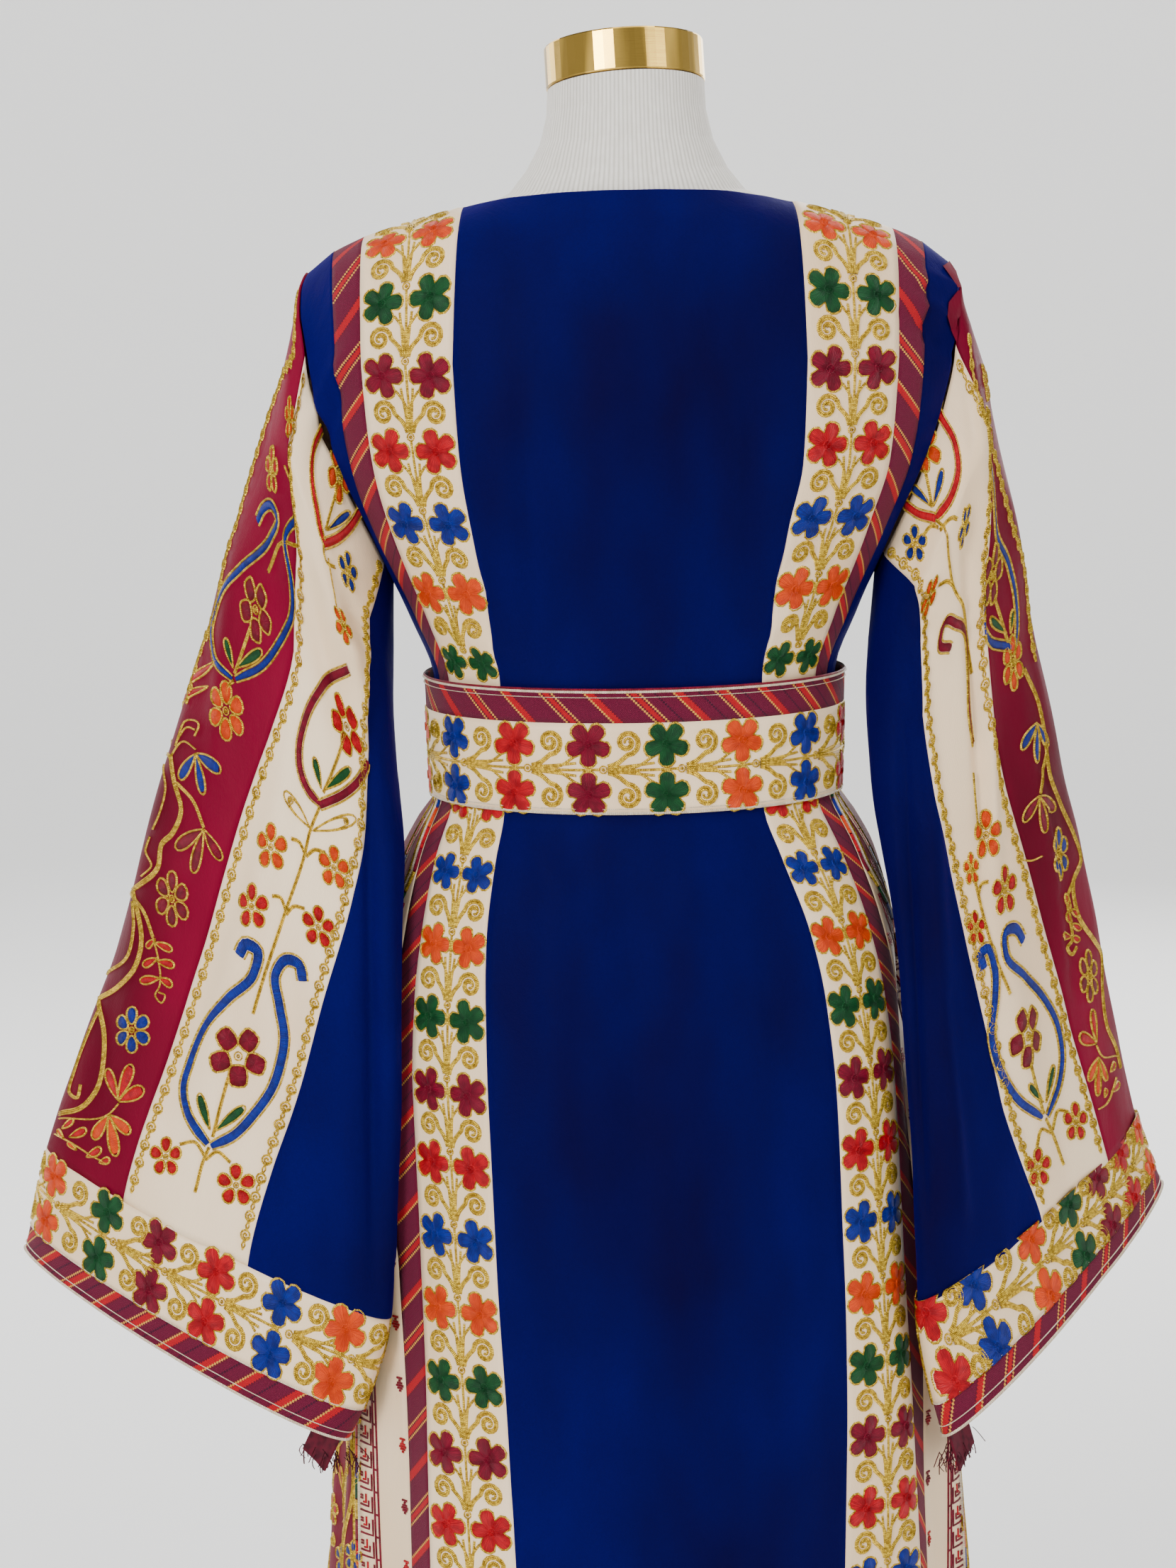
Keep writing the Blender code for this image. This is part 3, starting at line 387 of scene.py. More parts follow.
def sideGrid(side):
    # the bodice's side piece, from the armhole out to the trim and down to the waist
    edges = {}
    for face in ("back", "front"):
        line = []
        for z in heightsBetween(cut["sideSeamTopZ"], cut["yokeZ"])[1:]:
            z = float(z)
            line.append(bodyRow(anglesAt(z, np.array([levelAt(z)[2][face, side, "trim"]])), z)[0])
        xLow = np.array([line[-1][0]])
        for step in range(1, 13):
            line.append(yokeRow(xLow, np.array([side * shoulderX["trim"]]), step / 12, face)[0])
        edges[face] = line
    z = cut["sideSeamTopZ"]
    seams = levelAt(z)[2]
    a, b = seams["back", side, "trim"], seams["front", side, "trim"]
    bottom = list(bodyRow(anglesAt(z, np.linspace(a, b, 25)), z))
    outline = np.array(edges["back"][::-1] + bottom + edges["front"])
    radius = (cut["armholeTopZ"] - cut["underarmZ"]) / 2
    at = np.interp(outline[:, 2], armholeMatch[:, 0], armholeMatch[:, 1])
    turns = np.degrees(np.arccos(np.clip((at - cut["underarmZ"] - radius) / radius, -1, 1)))
    count = len(edges["back"])
    corner = turns[count]
    turns[count:count + 25] = np.linspace(corner, 360 - corner, 25)
    turns[count + 25:] = 360 - turns[count + 25:]
    inner = armholePoint(turns, side)
    rows = []
    for t in np.linspace(0, 1, 13):
        points = inner + (outline - inner) * t
        laid = layOnBody(points)
        keep = (points[:, 2] >= cut["yokeZ"])[:, None] | (t in (0, 1))
        rows.append(np.where(keep, points, laid))
    return np.array(rows).transpose(1, 0, 2)


def sleeveValues(row, side):
    table = sleeveTable[side]
    keyed = np.column_stack([np.arange(len(table)), table])
    return [float(curveAt(keyed, column, row)) for column in range(1, 10)]


def sleeveRow(row, turns, side):
    # points round the sleeve, where row -1 is the armhole and row 0 the first of the table
    ox, oy, oz, ix, iy, iz, thick = sleeveValues(max(0, row), side)[:7]
    turn = np.radians(turns)
    share = (1 - np.cos(turn)) / 2
    bulge = sleeveCut["bulge"] * max(0.0, 1 - max(0, row) / 2) * np.sin(turn) ** 2
    ring = np.stack([ox + (ix - ox) * share + side * bulge, oy + (iy - oy) * share - thick * np.sin(turn),
                     oz + (iz - oz) * share], axis=1)
    if row >= 0:
        return ring
    start = armholePoint(np.asarray(turns, float), side, sleeveCut["start"])
    return start + (ring - start) * (row + 1)


def sleeveSeams(row, side):
    burgundy, cream = sleeveValues(max(row, 0.0), side)[7:9]
    burgundy += (sleeveCut["armholeBurgundy"] - burgundy) * max(0.0, -row)
    cream += (sleeveCut["armholeCream"] - cream) * max(0.0, -row)
    return [math.degrees(math.acos(1 - 2 * share)) for share in (burgundy, cream)]


def sleeveGrid(side, part, columns, low=-1.0, high=8.0):
    rows = []
    for row in np.linspace(low, high, int((high - low) * 11) + 1):
        row = float(row)
        burgundy, cream = sleeveSeams(row, side)
        a, b = {
            "top": (-burgundy, burgundy), "creamBack": (burgundy, cream),
            "creamFront": (360 - cream, 360 - burgundy), "gore": (cream, 360 - cream), "round": (180, 540),
        }[part]
        rows.append(sleeveRow(row, np.linspace(a, b, columns + 1), side))
    return np.array(rows)


def normalsOf(grid):
    along = np.gradient(grid, axis=0)
    around = np.gradient(grid, axis=1)
    normal = np.cross(around, along)
    size = np.linalg.norm(normal, axis=2, keepdims=True)
    return normal / np.maximum(size, 1e-12)


def foldLift(grid):
    # height of the named folds at points of the photographed side
    lift = np.zeros(grid.shape[:2])
    x, y, z = grid[..., 0], grid[..., 1], grid[..., 2]
    for x0, z0, x1, z1, width, height in foldLines:
        dx, dz = x1 - x0, z1 - z0
        t = np.clip(((x - x0) * dx + (z - z0) * dz) / (dx * dx + dz * dz), 0, 1)
        away = np.hypot(x - x0 - dx * t, z - z0 - dz * t)
        fade = np.sin(np.pi * np.clip(t * 0.86 + 0.07, 0, 1)) ** 0.7
        lift += np.where(y < -0.004, height * fade * np.exp(-(away / width) ** 2), 0)
    return lift


def wrinkleLift(grid, amount, scale, stretch=2.5):
    # soft irregular drape: noise drawn out along the height
    lift = np.zeros(grid.shape[:2])
    for i in range(grid.shape[0]):
        for j in range(grid.shape[1]):
            x, y, z = grid[i, j] / (scale, scale, scale * stretch)
            finer = noise.noise(Vector((2.3 * x + 7, 2.3 * y, 2 * z)))
            lift[i, j] = noise.noise(Vector((x, y, z))) + 0.4 * finer
    return lift * amount


class Patch:
    # a laid panel: its points, its normals, and metres across and along it
    def __init__(self, grid, wrinkle=0.0, wrinkleScale=0.06, folds=True, out=0.0, flip=False):
        grid = np.array(grid, float)
        normal = normalsOf(grid) * (-1 if flip else 1)
        lift = np.full(grid.shape[:2], out)
        if folds:
            lift = lift + foldLift(grid)
        if wrinkle:
            lift = lift + wrinkleLift(grid, wrinkle, wrinkleScale)
        self.grid = grid + normal * lift[..., None]
        self.normal = normalsOf(self.grid) * (-1 if flip else 1)
        middle = grid.shape[1] // 2
        steps = np.linalg.norm(np.diff(self.grid, axis=1), axis=2)
        self.across = np.concatenate([np.zeros((grid.shape[0], 1)), np.cumsum(steps, axis=1)], axis=1)
        self.width = self.across[:, -1].copy()
        self.across -= self.across[:, middle:middle + 1]
        runs = np.linalg.norm(np.diff(self.grid[:, middle], axis=0), axis=1)
        self.along = np.concatenate([[0.0], np.cumsum(runs)])

    def at(self, u, v, h=0.0):
        # points at metres across from the middle and metres along, h above the cloth
        u, v = np.atleast_1d(np.asarray(u, float)), np.atleast_1d(np.asarray(v, float))
        h = np.broadcast_to(np.asarray(h, float), u.shape)
        row = np.clip(np.searchsorted(self.along, v, side="right") - 1, 0, len(self.along) - 2)
        t = (v - self.along[row]) / (self.along[row + 1] - self.along[row])
        t = np.clip(t, -0.5, 1.5)
        points, normals = [], []
        for r in (row, row + 1):
            lines = self.across[r]
            c = np.clip((lines <= u[:, None]).sum(axis=1) - 1, 0, lines.shape[1] - 2)
            low, high = self.across[r, c], self.across[r, c + 1]
            s = np.clip((u - low) / (high - low), -0.6, 1.6)[:, None]
            points.append(self.grid[r, c] + (self.grid[r, c + 1] - self.grid[r, c]) * s)
            normals.append(self.normal[r, c] + (self.normal[r, c + 1] - self.normal[r, c]) * s)
        t = t[:, None]
        normal = normals[0] + (normals[1] - normals[0]) * t
        normal /= np.linalg.norm(normal, axis=1, keepdims=True)
        return points[0] + (points[1] - points[0]) * t + normal * h[:, None]

    def alongAtZ(self, z):
        line = self.grid[:, self.grid.shape[1] // 2, 2]
        order = np.argsort(line)
        return float(np.interp(z, line[order], self.along[order]))


# Finishes

def fromPhoto(red, green, blue):
    # linear colour from the 0 to 255 values that the eye reads
    def one(value):
        value /= 255
        return value / 12.92 if value <= 0.04045 else ((value + 0.055) / 1.055) ** 2.4
    return (one(red), one(green), one(blue), 1.0)


def add(tree, kind, inputs=(), **settings):
    made = tree.nodes.new("ShaderNode" + kind)
    for name, value in settings.items():
        setattr(made, name, value)
    for key, value in (inputs.items() if isinstance(inputs, dict) else enumerate(inputs)):
        if isinstance(value, bpy.types.NodeSocket):
            tree.links.new(value, made.inputs[key])
        elif value is not None:
            made.inputs[key].default_value = value
    return made


def math2(tree, operation, a, b=None, c=None):
    return add(tree, "Math", [a, b, c] if c is not None else [a, b], operation=operation).outputs[0]


def mixed(tree, share, a, b, blend="MIX"):
    made = add(tree, "Mix", data_type="RGBA", blend_type=blend)
    for key, value in ((0, share), (6, a), (7, b)):
        if isinstance(value, bpy.types.NodeSocket):
            tree.links.new(value, made.inputs[key])
        else:
            made.inputs[key].default_value = value
    return made.outputs[2]


def newGroup(name, inputs, outputs):
    tree = bpy.data.node_groups.new(name, "ShaderNodeTree")
    for label, kind, value in inputs:
        socket = tree.interface.new_socket(label, in_out="INPUT", socket_type="NodeSocket" + kind)
        if value is not None:
            socket.default_value = value
    for label, kind in outputs:
        tree.interface.new_socket(label, in_out="OUTPUT", socket_type="NodeSocket" + kind)
    return tree, tree.nodes.new("NodeGroupInput").outputs, tree.nodes.new("NodeGroupOutput").inputs


def makeThreadGroup():
    # fine parallel threads across x, with uneven tension; the tone and shade output is each thread's own
    # random tone plus painted shade that follows the thread's height
    inputs = [("At", "Vector", None), ("Per metre", "Float", 1500.0), ("Uneven", "Float", 0.5)]
    tree, given, out = newGroup("laidThreads", inputs, [("Height", "Float"), ("Tone and shade", "Float")])
    parts = add(tree, "SeparateXYZ", [given["At"]]).outputs
    wobble = add(tree, "TexNoise", {"Vector": given["At"], "Scale": 260.0, "Detail": 2.0})
    shifted = math2(tree, "ADD", math2(tree, "MULTIPLY", parts[0], given["Per metre"]),
                    math2(tree, "MULTIPLY", wobble.outputs["Fac"], given["Uneven"]))
    wave = math2(tree, "ABSOLUTE", math2(tree, "SINE", math2(tree, "MULTIPLY", shifted, math.pi)))
    tree.links.new(wave, out["Height"])
    each = add(tree, "TexWhiteNoise", [None, math2(tree, "FLOOR", shifted)], noise_dimensions="1D")
    # each thread's own random tone, plus painted shade: lighter on the crest of each thread, darker in the
    # grooves between threads
    shade = math2(tree, "MULTIPLY_ADD", each.outputs["Value"], 0.45, math2(tree, "MULTIPLY", wave, 0.55))
    tree.links.new(shade, out["Tone and shade"])
    return tree


def makeDrapeGroup():
    # slow uneven tone of laid cloth, with small creases
    tree, given, out = newGroup("drapeTone", [("At", "Vector", None), ("Crease scale", "Float", 14.0)],
                                [("Tone", "Float"), ("Crease", "Float")])
    stretched = add(tree, "Mapping", {"Vector": given["At"], "Scale": (1.0, 1.0, 0.45)}).outputs[0]
    broad = add(tree, "TexNoise", {"Vector": stretched, "Scale": 7.0, "Detail": 3.0, "Roughness": 0.55})
    small = add(tree, "TexNoise", {"Vector": stretched, "Scale": given["Crease scale"], "Detail": 5.0,
                                   "Roughness": 0.6, "Distortion": 0.6})
    tree.links.new(broad.outputs["Fac"], out["Tone"])
    tree.links.new(small.outputs["Fac"], out["Crease"])
    return tree


threadGroup = makeThreadGroup()
drapeGroup = makeDrapeGroup()


def useGroup(tree, group, **values):
    made = tree.nodes.new("ShaderNodeGroup")
    made.node_tree = group
    for label, value in values.items():
        label = label.replace("_", " ")
        if isinstance(value, bpy.types.NodeSocket):
            tree.links.new(value, made.inputs[label])
        else:
            made.inputs[label].default_value = value
    return made.outputs


def newFinish(name, roughness, **plain):
    finish = bpy.data.materials.new(name)
    finish.use_nodes = True
    tree = finish.node_tree
    shader = tree.nodes["Principled BSDF"]
    shader.inputs["Roughness"].default_value = roughness
    for label, value in plain.items():
        shader.inputs[label.replace("_", " ")].default_value = value
    return finish, tree, shader


def objectPlace(tree):
    return add(tree, "TexCoord").outputs["Object"]


def bumped(tree, shader, height, strength, distance):
    relief = add(tree, "Bump", {"Height": height, "Strength": strength, "Distance": distance})
    tree.links.new(relief.outputs[0], shader.inputs["Normal"])


def velvetFinish(name="navyVelvet"):
    finish, tree, shader = newFinish(name, 0.66, Sheen_Weight=0.05, Sheen_Roughness=0.30,
                                     Sheen_Tint=fromPhoto(60, 30, 235), Specular_IOR_Level=0.03)
    place = objectPlace(tree)
    drape = useGroup(tree, drapeGroup, At=place, Crease_scale=22.0)
    pile = add(tree, "TexNoise", {"Vector": place, "Scale": 900.0, "Detail": 2.0})
    brushed = add(tree, "MapRange", [drape["Tone"], 0.35, 0.68, 0.0, 1.0]).outputs[0]
    colour = mixed(tree, brushed, fromPhoto(7, 0, 46), fromPhoto(10, 0, 80))
    # painted sheen: the base colour turns a brighter blue towards grazing angles, standing in for the
    # velvet's sheen
    facing = add(tree, "LayerWeight", {"Blend": 0.35}).outputs["Facing"]
    colour = mixed(tree, math2(tree, "MULTIPLY", facing, 0.34), colour, fromPhoto(20, 0, 138))
    colour = mixed(tree, math2(tree, "MULTIPLY", pile.outputs["Fac"], 0.35), colour, fromPhoto(1, 1, 26))
    tree.links.new(colour, shader.inputs["Base Color"])
    nap = math2(tree, "MULTIPLY", pile.outputs["Fac"], 0.25)
    height = math2(tree, "MULTIPLY_ADD", drape["Crease"], 3.2, nap)
    bumped(tree, shader, height, 0.5, 0.0012)
    return finish


def satinFinish(name, light, dark, roughness, sheen, crease=1.4, shine=0.38):
    finish, tree, shader = newFinish(name, roughness, Sheen_Weight=sheen, Sheen_Roughness=0.4,
                                     Specular_IOR_Level=shine)
    place = objectPlace(tree)
    drape = useGroup(tree, drapeGroup, At=place, Crease_scale=30.0)
    along = add(tree, "Attribute", attribute_name="cloth").outputs["Vector"]
    threads = useGroup(tree, threadGroup, At=along, Per_metre=900.0, Uneven=2.0)
    tone = add(tree, "MapRange", [drape["Tone"], 0.32, 0.7, 0.0, 1.0]).outputs[0]
    colour = mixed(tree, tone, dark, light)
    # weave: each thread's own tone plus painted shade in the grooves between threads
    colour = mixed(tree, math2(tree, "MULTIPLY", threads["Tone and shade"], 0.10), colour, dark)
    tree.links.new(colour, shader.inputs["Base Color"])
    rough = add(tree, "MapRange", [drape["Crease"], 0.3, 0.7, roughness - 0.07, roughness + 0.1]).outputs[0]
    tree.links.new(rough, shader.inputs["Roughness"])
    weave = math2(tree, "MULTIPLY", threads["Height"], 0.10)
    height = math2(tree, "MULTIPLY_ADD", drape["Crease"], crease, weave)
    bumped(tree, shader, height, 0.55, 0.0010)
    return finish


def stripeFinish(name, slant):
    # cross stitches in slanting stripes: dotted yellow, red, dotted yellow on burgundy
    cell, period = 0.00135, 0.0284
    finish, tree, shader = newFinish(name, 0.72, Sheen_Weight=0.04, Sheen_Roughness=0.5,
                                     Specular_IOR_Level=0.2)
    at = add(tree, "Attribute", attribute_name="cloth").outputs["Vector"]
    parts = add(tree, "SeparateXYZ", [at]).outputs
    u = math2(tree, "DIVIDE", parts[0], cell)
    v = math2(tree, "DIVIDE", parts[1], cell)
    cu, cv = math2(tree, "FLOOR", u), math2(tree, "FLOOR", v)
    run = math2(tree, "MULTIPLY_ADD", cu, slant, cv)
    phase = math2(tree, "FRACT", math2(tree, "MULTIPLY", run, cell / period))
    group = add(tree, "ValToRGB", [phase]).color_ramp
    group.interpolation = "CONSTANT"
    stops = ((0.0, (108, 0, 46)), (0.37, (244, 176, 72)), (0.43, (200, 0, 20)), (0.63, (244, 176, 72)),
             (0.69, (108, 0, 46)), (0.97, (64, 0, 36)))
    group.elements[0].color = fromPhoto(*stops[0][1])
    group.elements[1].position = stops[1][0]
    group.elements[1].color = fromPhoto(*stops[1][1])
    for position, value in stops[2:]:
        group.elements.new(position).color = fromPhoto(*value)
    striped = [n for n in tree.nodes if n.bl_idname == "ShaderNodeValToRGB"][0].outputs["Color"]
    odd = math2(tree, "MODULO", math2(tree, "ABSOLUTE", math2(tree, "ADD", cu, cv)), 2.0)
    first, second = (math2(tree, "COMPARE", phase, middle, 0.045) for middle in (0.40, 0.66))
    yellow = math2(tree, "ADD", first, second)
    gap = math2(tree, "MULTIPLY", yellow, odd)
    colour = mixed(tree, gap, striped, fromPhoto(104, 2, 36))
    # each cell darker away from its crossed threads, where the relief is lowest: partly the ground cloth
    # between the stitches, partly painted shade
    fu, fv = math2(tree, "FRACT", u), math2(tree, "FRACT", v)
    fromU, fromV = (math2(tree, "ABSOLUTE", math2(tree, "SUBTRACT", value, 0.5)) for value in (fu, fv))
    cross = math2(tree, "ABSOLUTE", math2(tree, "SUBTRACT", fromU, fromV))
    edge = math2(tree, "MULTIPLY", cross, 1.5)
    colour = mixed(tree, math2(tree, "MULTIPLY", edge, 0.7), colour, fromPhoto(60, 8, 30))
    each = add(tree, "TexNoise", {"Vector": at, "Scale": 420.0, "Detail": 1.0})
    colour = mixed(tree, math2(tree, "MULTIPLY", each.outputs["Fac"], 0.30), colour, fromPhoto(60, 8, 30))
    tree.links.new(colour, shader.inputs["Base Color"])
    bumped(tree, shader, math2(tree, "SUBTRACT", 1.0, edge), 0.9, 0.0006)
    return finish


def threadFinish(name, light, dark, perMetre=1350.0, roughness=0.42, metallic=0.0, patches=170.0):
    # satin stitch or cord: threads lie across the run
    finish, tree, shader = newFinish(name, roughness, Metallic=metallic,
                                     Specular_IOR_Level=0.22)
    at = add(tree, "Attribute", attribute_name="stitch").outputs["Vector"]
    threads = useGroup(tree, threadGroup, At=at, Per_metre=perMetre, Uneven=1.2)
    # thread colour from each thread's own tone plus painted shade that follows the thread's height
    colour = mixed(tree, threads["Tone and shade"], dark, light)
    # painted shade: slow noise patches pull the colour towards the dark thread colour, standing in for
    # stitches catching less light where their direction turns; patches is the noise scale
    turned = add(tree, "TexNoise", {"Vector": objectPlace(tree), "Scale": patches, "Detail": 1.0})
    paintedShading = add(tree, "MapRange", [turned.outputs["Fac"], 0.44, 0.64, 0.0, 0.62]).outputs[0]
    colour = mixed(tree, paintedShading, colour, dark)
    tree.links.new(colour, shader.inputs["Base Color"])
    bumped(tree, shader, threads["Height"], 0.75, 0.0005)
    return finish


def linenFinish():
    finish, tree, shader = newFinish("ribbedLinen", 0.8, Sheen_Weight=0.25, Sheen_Roughness=0.5)
    place = objectPlace(tree)
    parts = add(tree, "SeparateXYZ", [place]).outputs
    turn = math2(tree, "ARCTAN2", parts[0], parts[1])
    ribs = math2(tree, "ABSOLUTE", math2(tree, "SINE", math2(tree, "MULTIPLY", turn, 62.0)))
    drawn = add(tree, "Mapping", {"Vector": place, "Scale": (1, 1, 0.2)}).outputs[0]
    slub = add(tree, "TexNoise", {"Vector": drawn, "Scale": 420.0, "Detail": 3.0})
    colour = mixed(tree, slub.outputs["Fac"], fromPhoto(214, 208, 198), fromPhoto(244, 240, 232))
    # painted shade: the grooves between the ribs darkened towards grey-brown
    colour = mixed(tree, math2(tree, "MULTIPLY", math2(tree, "SUBTRACT", 1.0, ribs), 0.6), colour,
                   fromPhoto(160, 152, 138))
    tree.links.new(colour, shader.inputs["Base Color"])
    bumped(tree, shader, math2(tree, "MULTIPLY_ADD", ribs, 0.7, slub.outputs["Fac"]), 0.45, 0.0005)
    return finish


def metalFinish(name, colour, roughness, brushed, paintedReflection=0.0):
    finish, tree, shader = newFinish(name, roughness, Metallic=1.0)
    place = objectPlace(tree)
    level = add(tree, "Mapping", {"Vector": place, "Scale": (1, 1, 26)}).outputs[0]
    lines = add(tree, "TexNoise", {"Vector": level, "Scale": 60.0, "Detail": 4.0})
    darker, reflectionDark = ([c * share for c in colour[:3]] + [1] for share in (0.8, 0.30))
    shade = mixed(tree, math2(tree, "MULTIPLY", lines.outputs["Fac"], 0.25), colour, darker)
    # painted reflection: dark upright streaks in the base colour stand in for the room reflected in the
    # polished cap
    upright = add(tree, "Mapping", {"Vector": place, "Scale": (1, 1, 0.02)}).outputs[0]
    reflectionStreaks = add(tree, "TexNoise", {"Vector": upright, "Scale": 46.0, "Detail": 1.0})
    paintedShading = add(tree, "MapRange", [reflectionStreaks.outputs["Fac"], 0.46, 0.60, 0.0, paintedReflection]).outputs[0]
    shade = mixed(tree, paintedShading, shade, reflectionDark)
    tree.links.new(shade, shader.inputs["Base Color"])
    rough = add(tree, "MapRange", [lines.outputs["Fac"], 0.3, 0.7, roughness, roughness + brushed]).outputs[0]
    tree.links.new(rough, shader.inputs["Roughness"])
    bumped(tree, shader, lines.outputs["Fac"], 0.1, 0.0002)
    return finish


finishes = {
    "velvet": velvetFinish(),
    "cream": satinFinish("creamSatin", fromPhoto(250, 224, 188), fromPhoto(226, 192, 150), 0.44, 0.10),
    "burgundy": satinFinish("burgundySatin", fromPhoto(124, 0, 42), fromPhoto(78, 0, 22), 0.52, 0.0,
                            crease=2.2, shine=0.07),
    "stripeUp": stripeFinish("stripedTrim", -1.0),
    "stripeDown": stripeFinish("stripedTrimMirrored", 1.0),
    "stripeBelt": stripeFinish("stripedBeltTrim", 1.0),
    "linen": linenFinish(),
    "gold": metalFinish("polishedGold", fromPhoto(232, 190, 92), 0.10, 0.08, 0.8),
    "steel": metalFinish("satinSteel", fromPhoto(196, 196, 194), 0.30, 0.15),
    "goldCord": threadFinish("goldCord", fromPhoto(255, 216, 74), fromPhoto(118, 80, 2), 950.0, 0.28,
                             metallic=0.6, patches=420.0),
    "red": threadFinish("redThread", fromPhoto(212, 0, 28), fromPhoto(124, 0, 16)),
    "orange": threadFinish("orangeThread", fromPhoto(240, 78, 6), fromPhoto(180, 42, 2)),
    "green": threadFinish("greenThread", fromPhoto(14, 84, 40), fromPhoto(2, 44, 20)),
    "blue": threadFinish("blueThread", fromPhoto(8, 40, 156), fromPhoto(2, 14, 84)),
    "wine": threadFinish("burgundyThread", fromPhoto(138, 4, 44), fromPhoto(84, 0, 22)),
    "sand": threadFinish("creamPiping", fromPhoto(236, 220, 196), fromPhoto(190, 168, 138), 800.0),
    "fray": threadFinish("frayedWarp", fromPhoto(96, 12, 36), fromPhoto(40, 4, 16), 700.0, 0.8),
}
print("finishes made")


# Laid panels

def gridInto(work, layers, points, values, slot=0):
    # a grid laid on rows of points, with what its attribute layers hold
    rows, columns = points.shape[:2]
    made = bmesh.ops.create_grid(work, x_segments=columns - 1, y_segments=rows - 1, size=1.0)
    for vert, point, value in zip(made["verts"], points.reshape(-1, 3), values.reshape(-1, 3)):
        vert.co = point
        vert[layers] = value
    if slot:
        for face in {face for vert in made["verts"] for face in vert.link_faces}:
            face.material_index = slot
    return made["verts"]


def asPiece(work, name, node, materials):
    for face in work.faces:
        face.smooth = True
    mesh = bpy.data.meshes.new(name)
    work.to_mesh(mesh)
    work.free()
    for finish in materials:
        mesh.materials.append(finish)
    piece = bpy.data.objects.new(name, mesh)
    bpy.context.scene.collection.objects.link(piece)
    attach(piece, "root")
    return piece


def clothPiece(name, patch, finish, node, closed):
    work = bmesh.new()
    layer = work.verts.layers.float_vector.new("cloth")
    values = np.zeros_like(patch.grid)
    values[..., 0] = patch.across
    values[..., 1] = patch.along[:, None]
    gridInto(work, layer, patch.grid, values)
    if closed:
        bmesh.ops.remove_doubles(work, verts=work.verts, dist=0.00005)
    middle = patch.grid[patch.grid.shape[0] // 2, patch.grid.shape[1] // 2]
    outward = Vector(patch.normal[patch.grid.shape[0] // 2, patch.grid.shape[1] // 2])
    nearest = min(work.faces, key=lambda f: (f.calc_center_median() - Vector(middle)).length_squared)
    nearest.normal_update()
    if nearest.normal.dot(outward) < 0:
        bmesh.ops.reverse_faces(work, faces=work.faces)
    piece = asPiece(work, name, node, [finishes[finish]])
    wall = piece.modifiers.new("wall", "SOLIDIFY")
    wall.thickness = cut["wall"]
    wall.offset = -1
    wall.use_rim = True
    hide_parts(node)
    return piece


patches = {}
pieces = {}


def layPanel(node, grid, finish, flip=False, closed=False,
             wrinkle=0.0008, wrinkleScale=0.05, folds=True, out=0.0):
    patch = Patch(grid, wrinkle, wrinkleScale, folds, out, flip)
    deepest = np.linalg.norm(np.diff(patch.grid, axis=0), axis=2).sum(axis=0).max()
    patches[node] = patch
    pieces[node] = clothPiece(node + "_cloth", patch, finish, node, closed)
    return patch


def layBody():
    for face, a, b in (("back", -1, 1), ("front", 1, -1)):
        layPanel(face + "_centre", stripGrid(face, (face, a, "centre"), (face, b, "centre"), 40), "velvet",
                 wrinkle=0.0011)
    for side, tag in sides:
        for face in ("back", "front"):
            end = f"{face}_{tag}"
            turned = (side < 0) == (face == "back")
            first, last = ("band", "centre") if turned else ("centre", "band")
            layPanel("cream_band_" + end, stripGrid(face, (face, side, first), (face, side, last), 14),
                     "cream")
            first, last = ("trim", "band") if turned else ("band", "trim")
            slant = "stripeUp" if side < 0 else "stripeDown"
            layPanel("stripe_band_" + end, stripGrid(face, (face, side, first), (face, side, last), 6), slant)
            first, last = ("key", "trim") if turned else ("trim", "key")
            layPanel("key_panel_" + end, stripGrid(face, (face, side, first), (face, side, last), 8, "waist"),
                     "cream")
        first, last = (("front", side, "key"), ("back", side, "key"))[::side]
        layPanel("side_panel_" + tag, stripGrid("back", first, last, 44, "waist"), "burgundy", flip=True)
        layPanel("bodice_side_" + tag, sideGrid(side), "velvet", flip=side < 0, wrinkleScale=0.03)


def laySleeves():
    for side, tag in sides:
        for part, node, finish, columns in (("top", "sleeve_top_", "burgundy", 44),
                                            ("creamBack", "sleeve_cream_back_", "cream", 40),
                                            ("creamFront", "sleeve_cream_front_", "cream", 20),
                                            ("gore", "sleeve_gore_", "velvet", 64)):
            layPanel(node + tag, sleeveGrid(side, part, columns), finish,
                     flip=side < 0, wrinkle=0.0026, wrinkleScale=0.05)
        last = sleeveCut["trimRow"]
        layPanel("cuff_cream_" + tag, sleeveGrid(side, "round", 96, 8.0, last), "cream", closed=True,
                 flip=side < 0)
        slant = "stripeDown" if side < 0 else "stripeUp"
        layPanel("cuff_stripe_" + tag, sleeveGrid(side, "round", 96, last, last + 1), slant, closed=True,
                 flip=side < 0)


def layBelt():
    angles = np.linspace(-180, 180, 121)
    seam, top, bottom = 1.1085, 1.1290, 1.0505
    for node, low, high, finish, held in (("belt_cream", bottom, seam, "cream", 12),
                                          ("belt_stripe", seam, top, "stripeBelt", 6)):
        rows = np.array([ovalRow(beltTable, angles, float(z), 0.0) for z in np.linspace(low, high, held)])
        layPanel(node, rows, finish, closed=True,
                 wrinkle=0.0004, folds=False)


layBody()
laySleeves()
layBelt()
print("panels laid")


# Dress form

def finishForm():
    for node, finish in (("form_torso", "linen"), ("form_neck_cap", "gold"), ("form_pole", "steel"),
                         ("form_base", "steel")):
        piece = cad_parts[node]
        for slot in piece.material_slots:
            slot.material = finishes[finish]
        if not piece.material_slots:
            piece.data.materials.append(finishes[finish])


finishForm()


# Embroidery

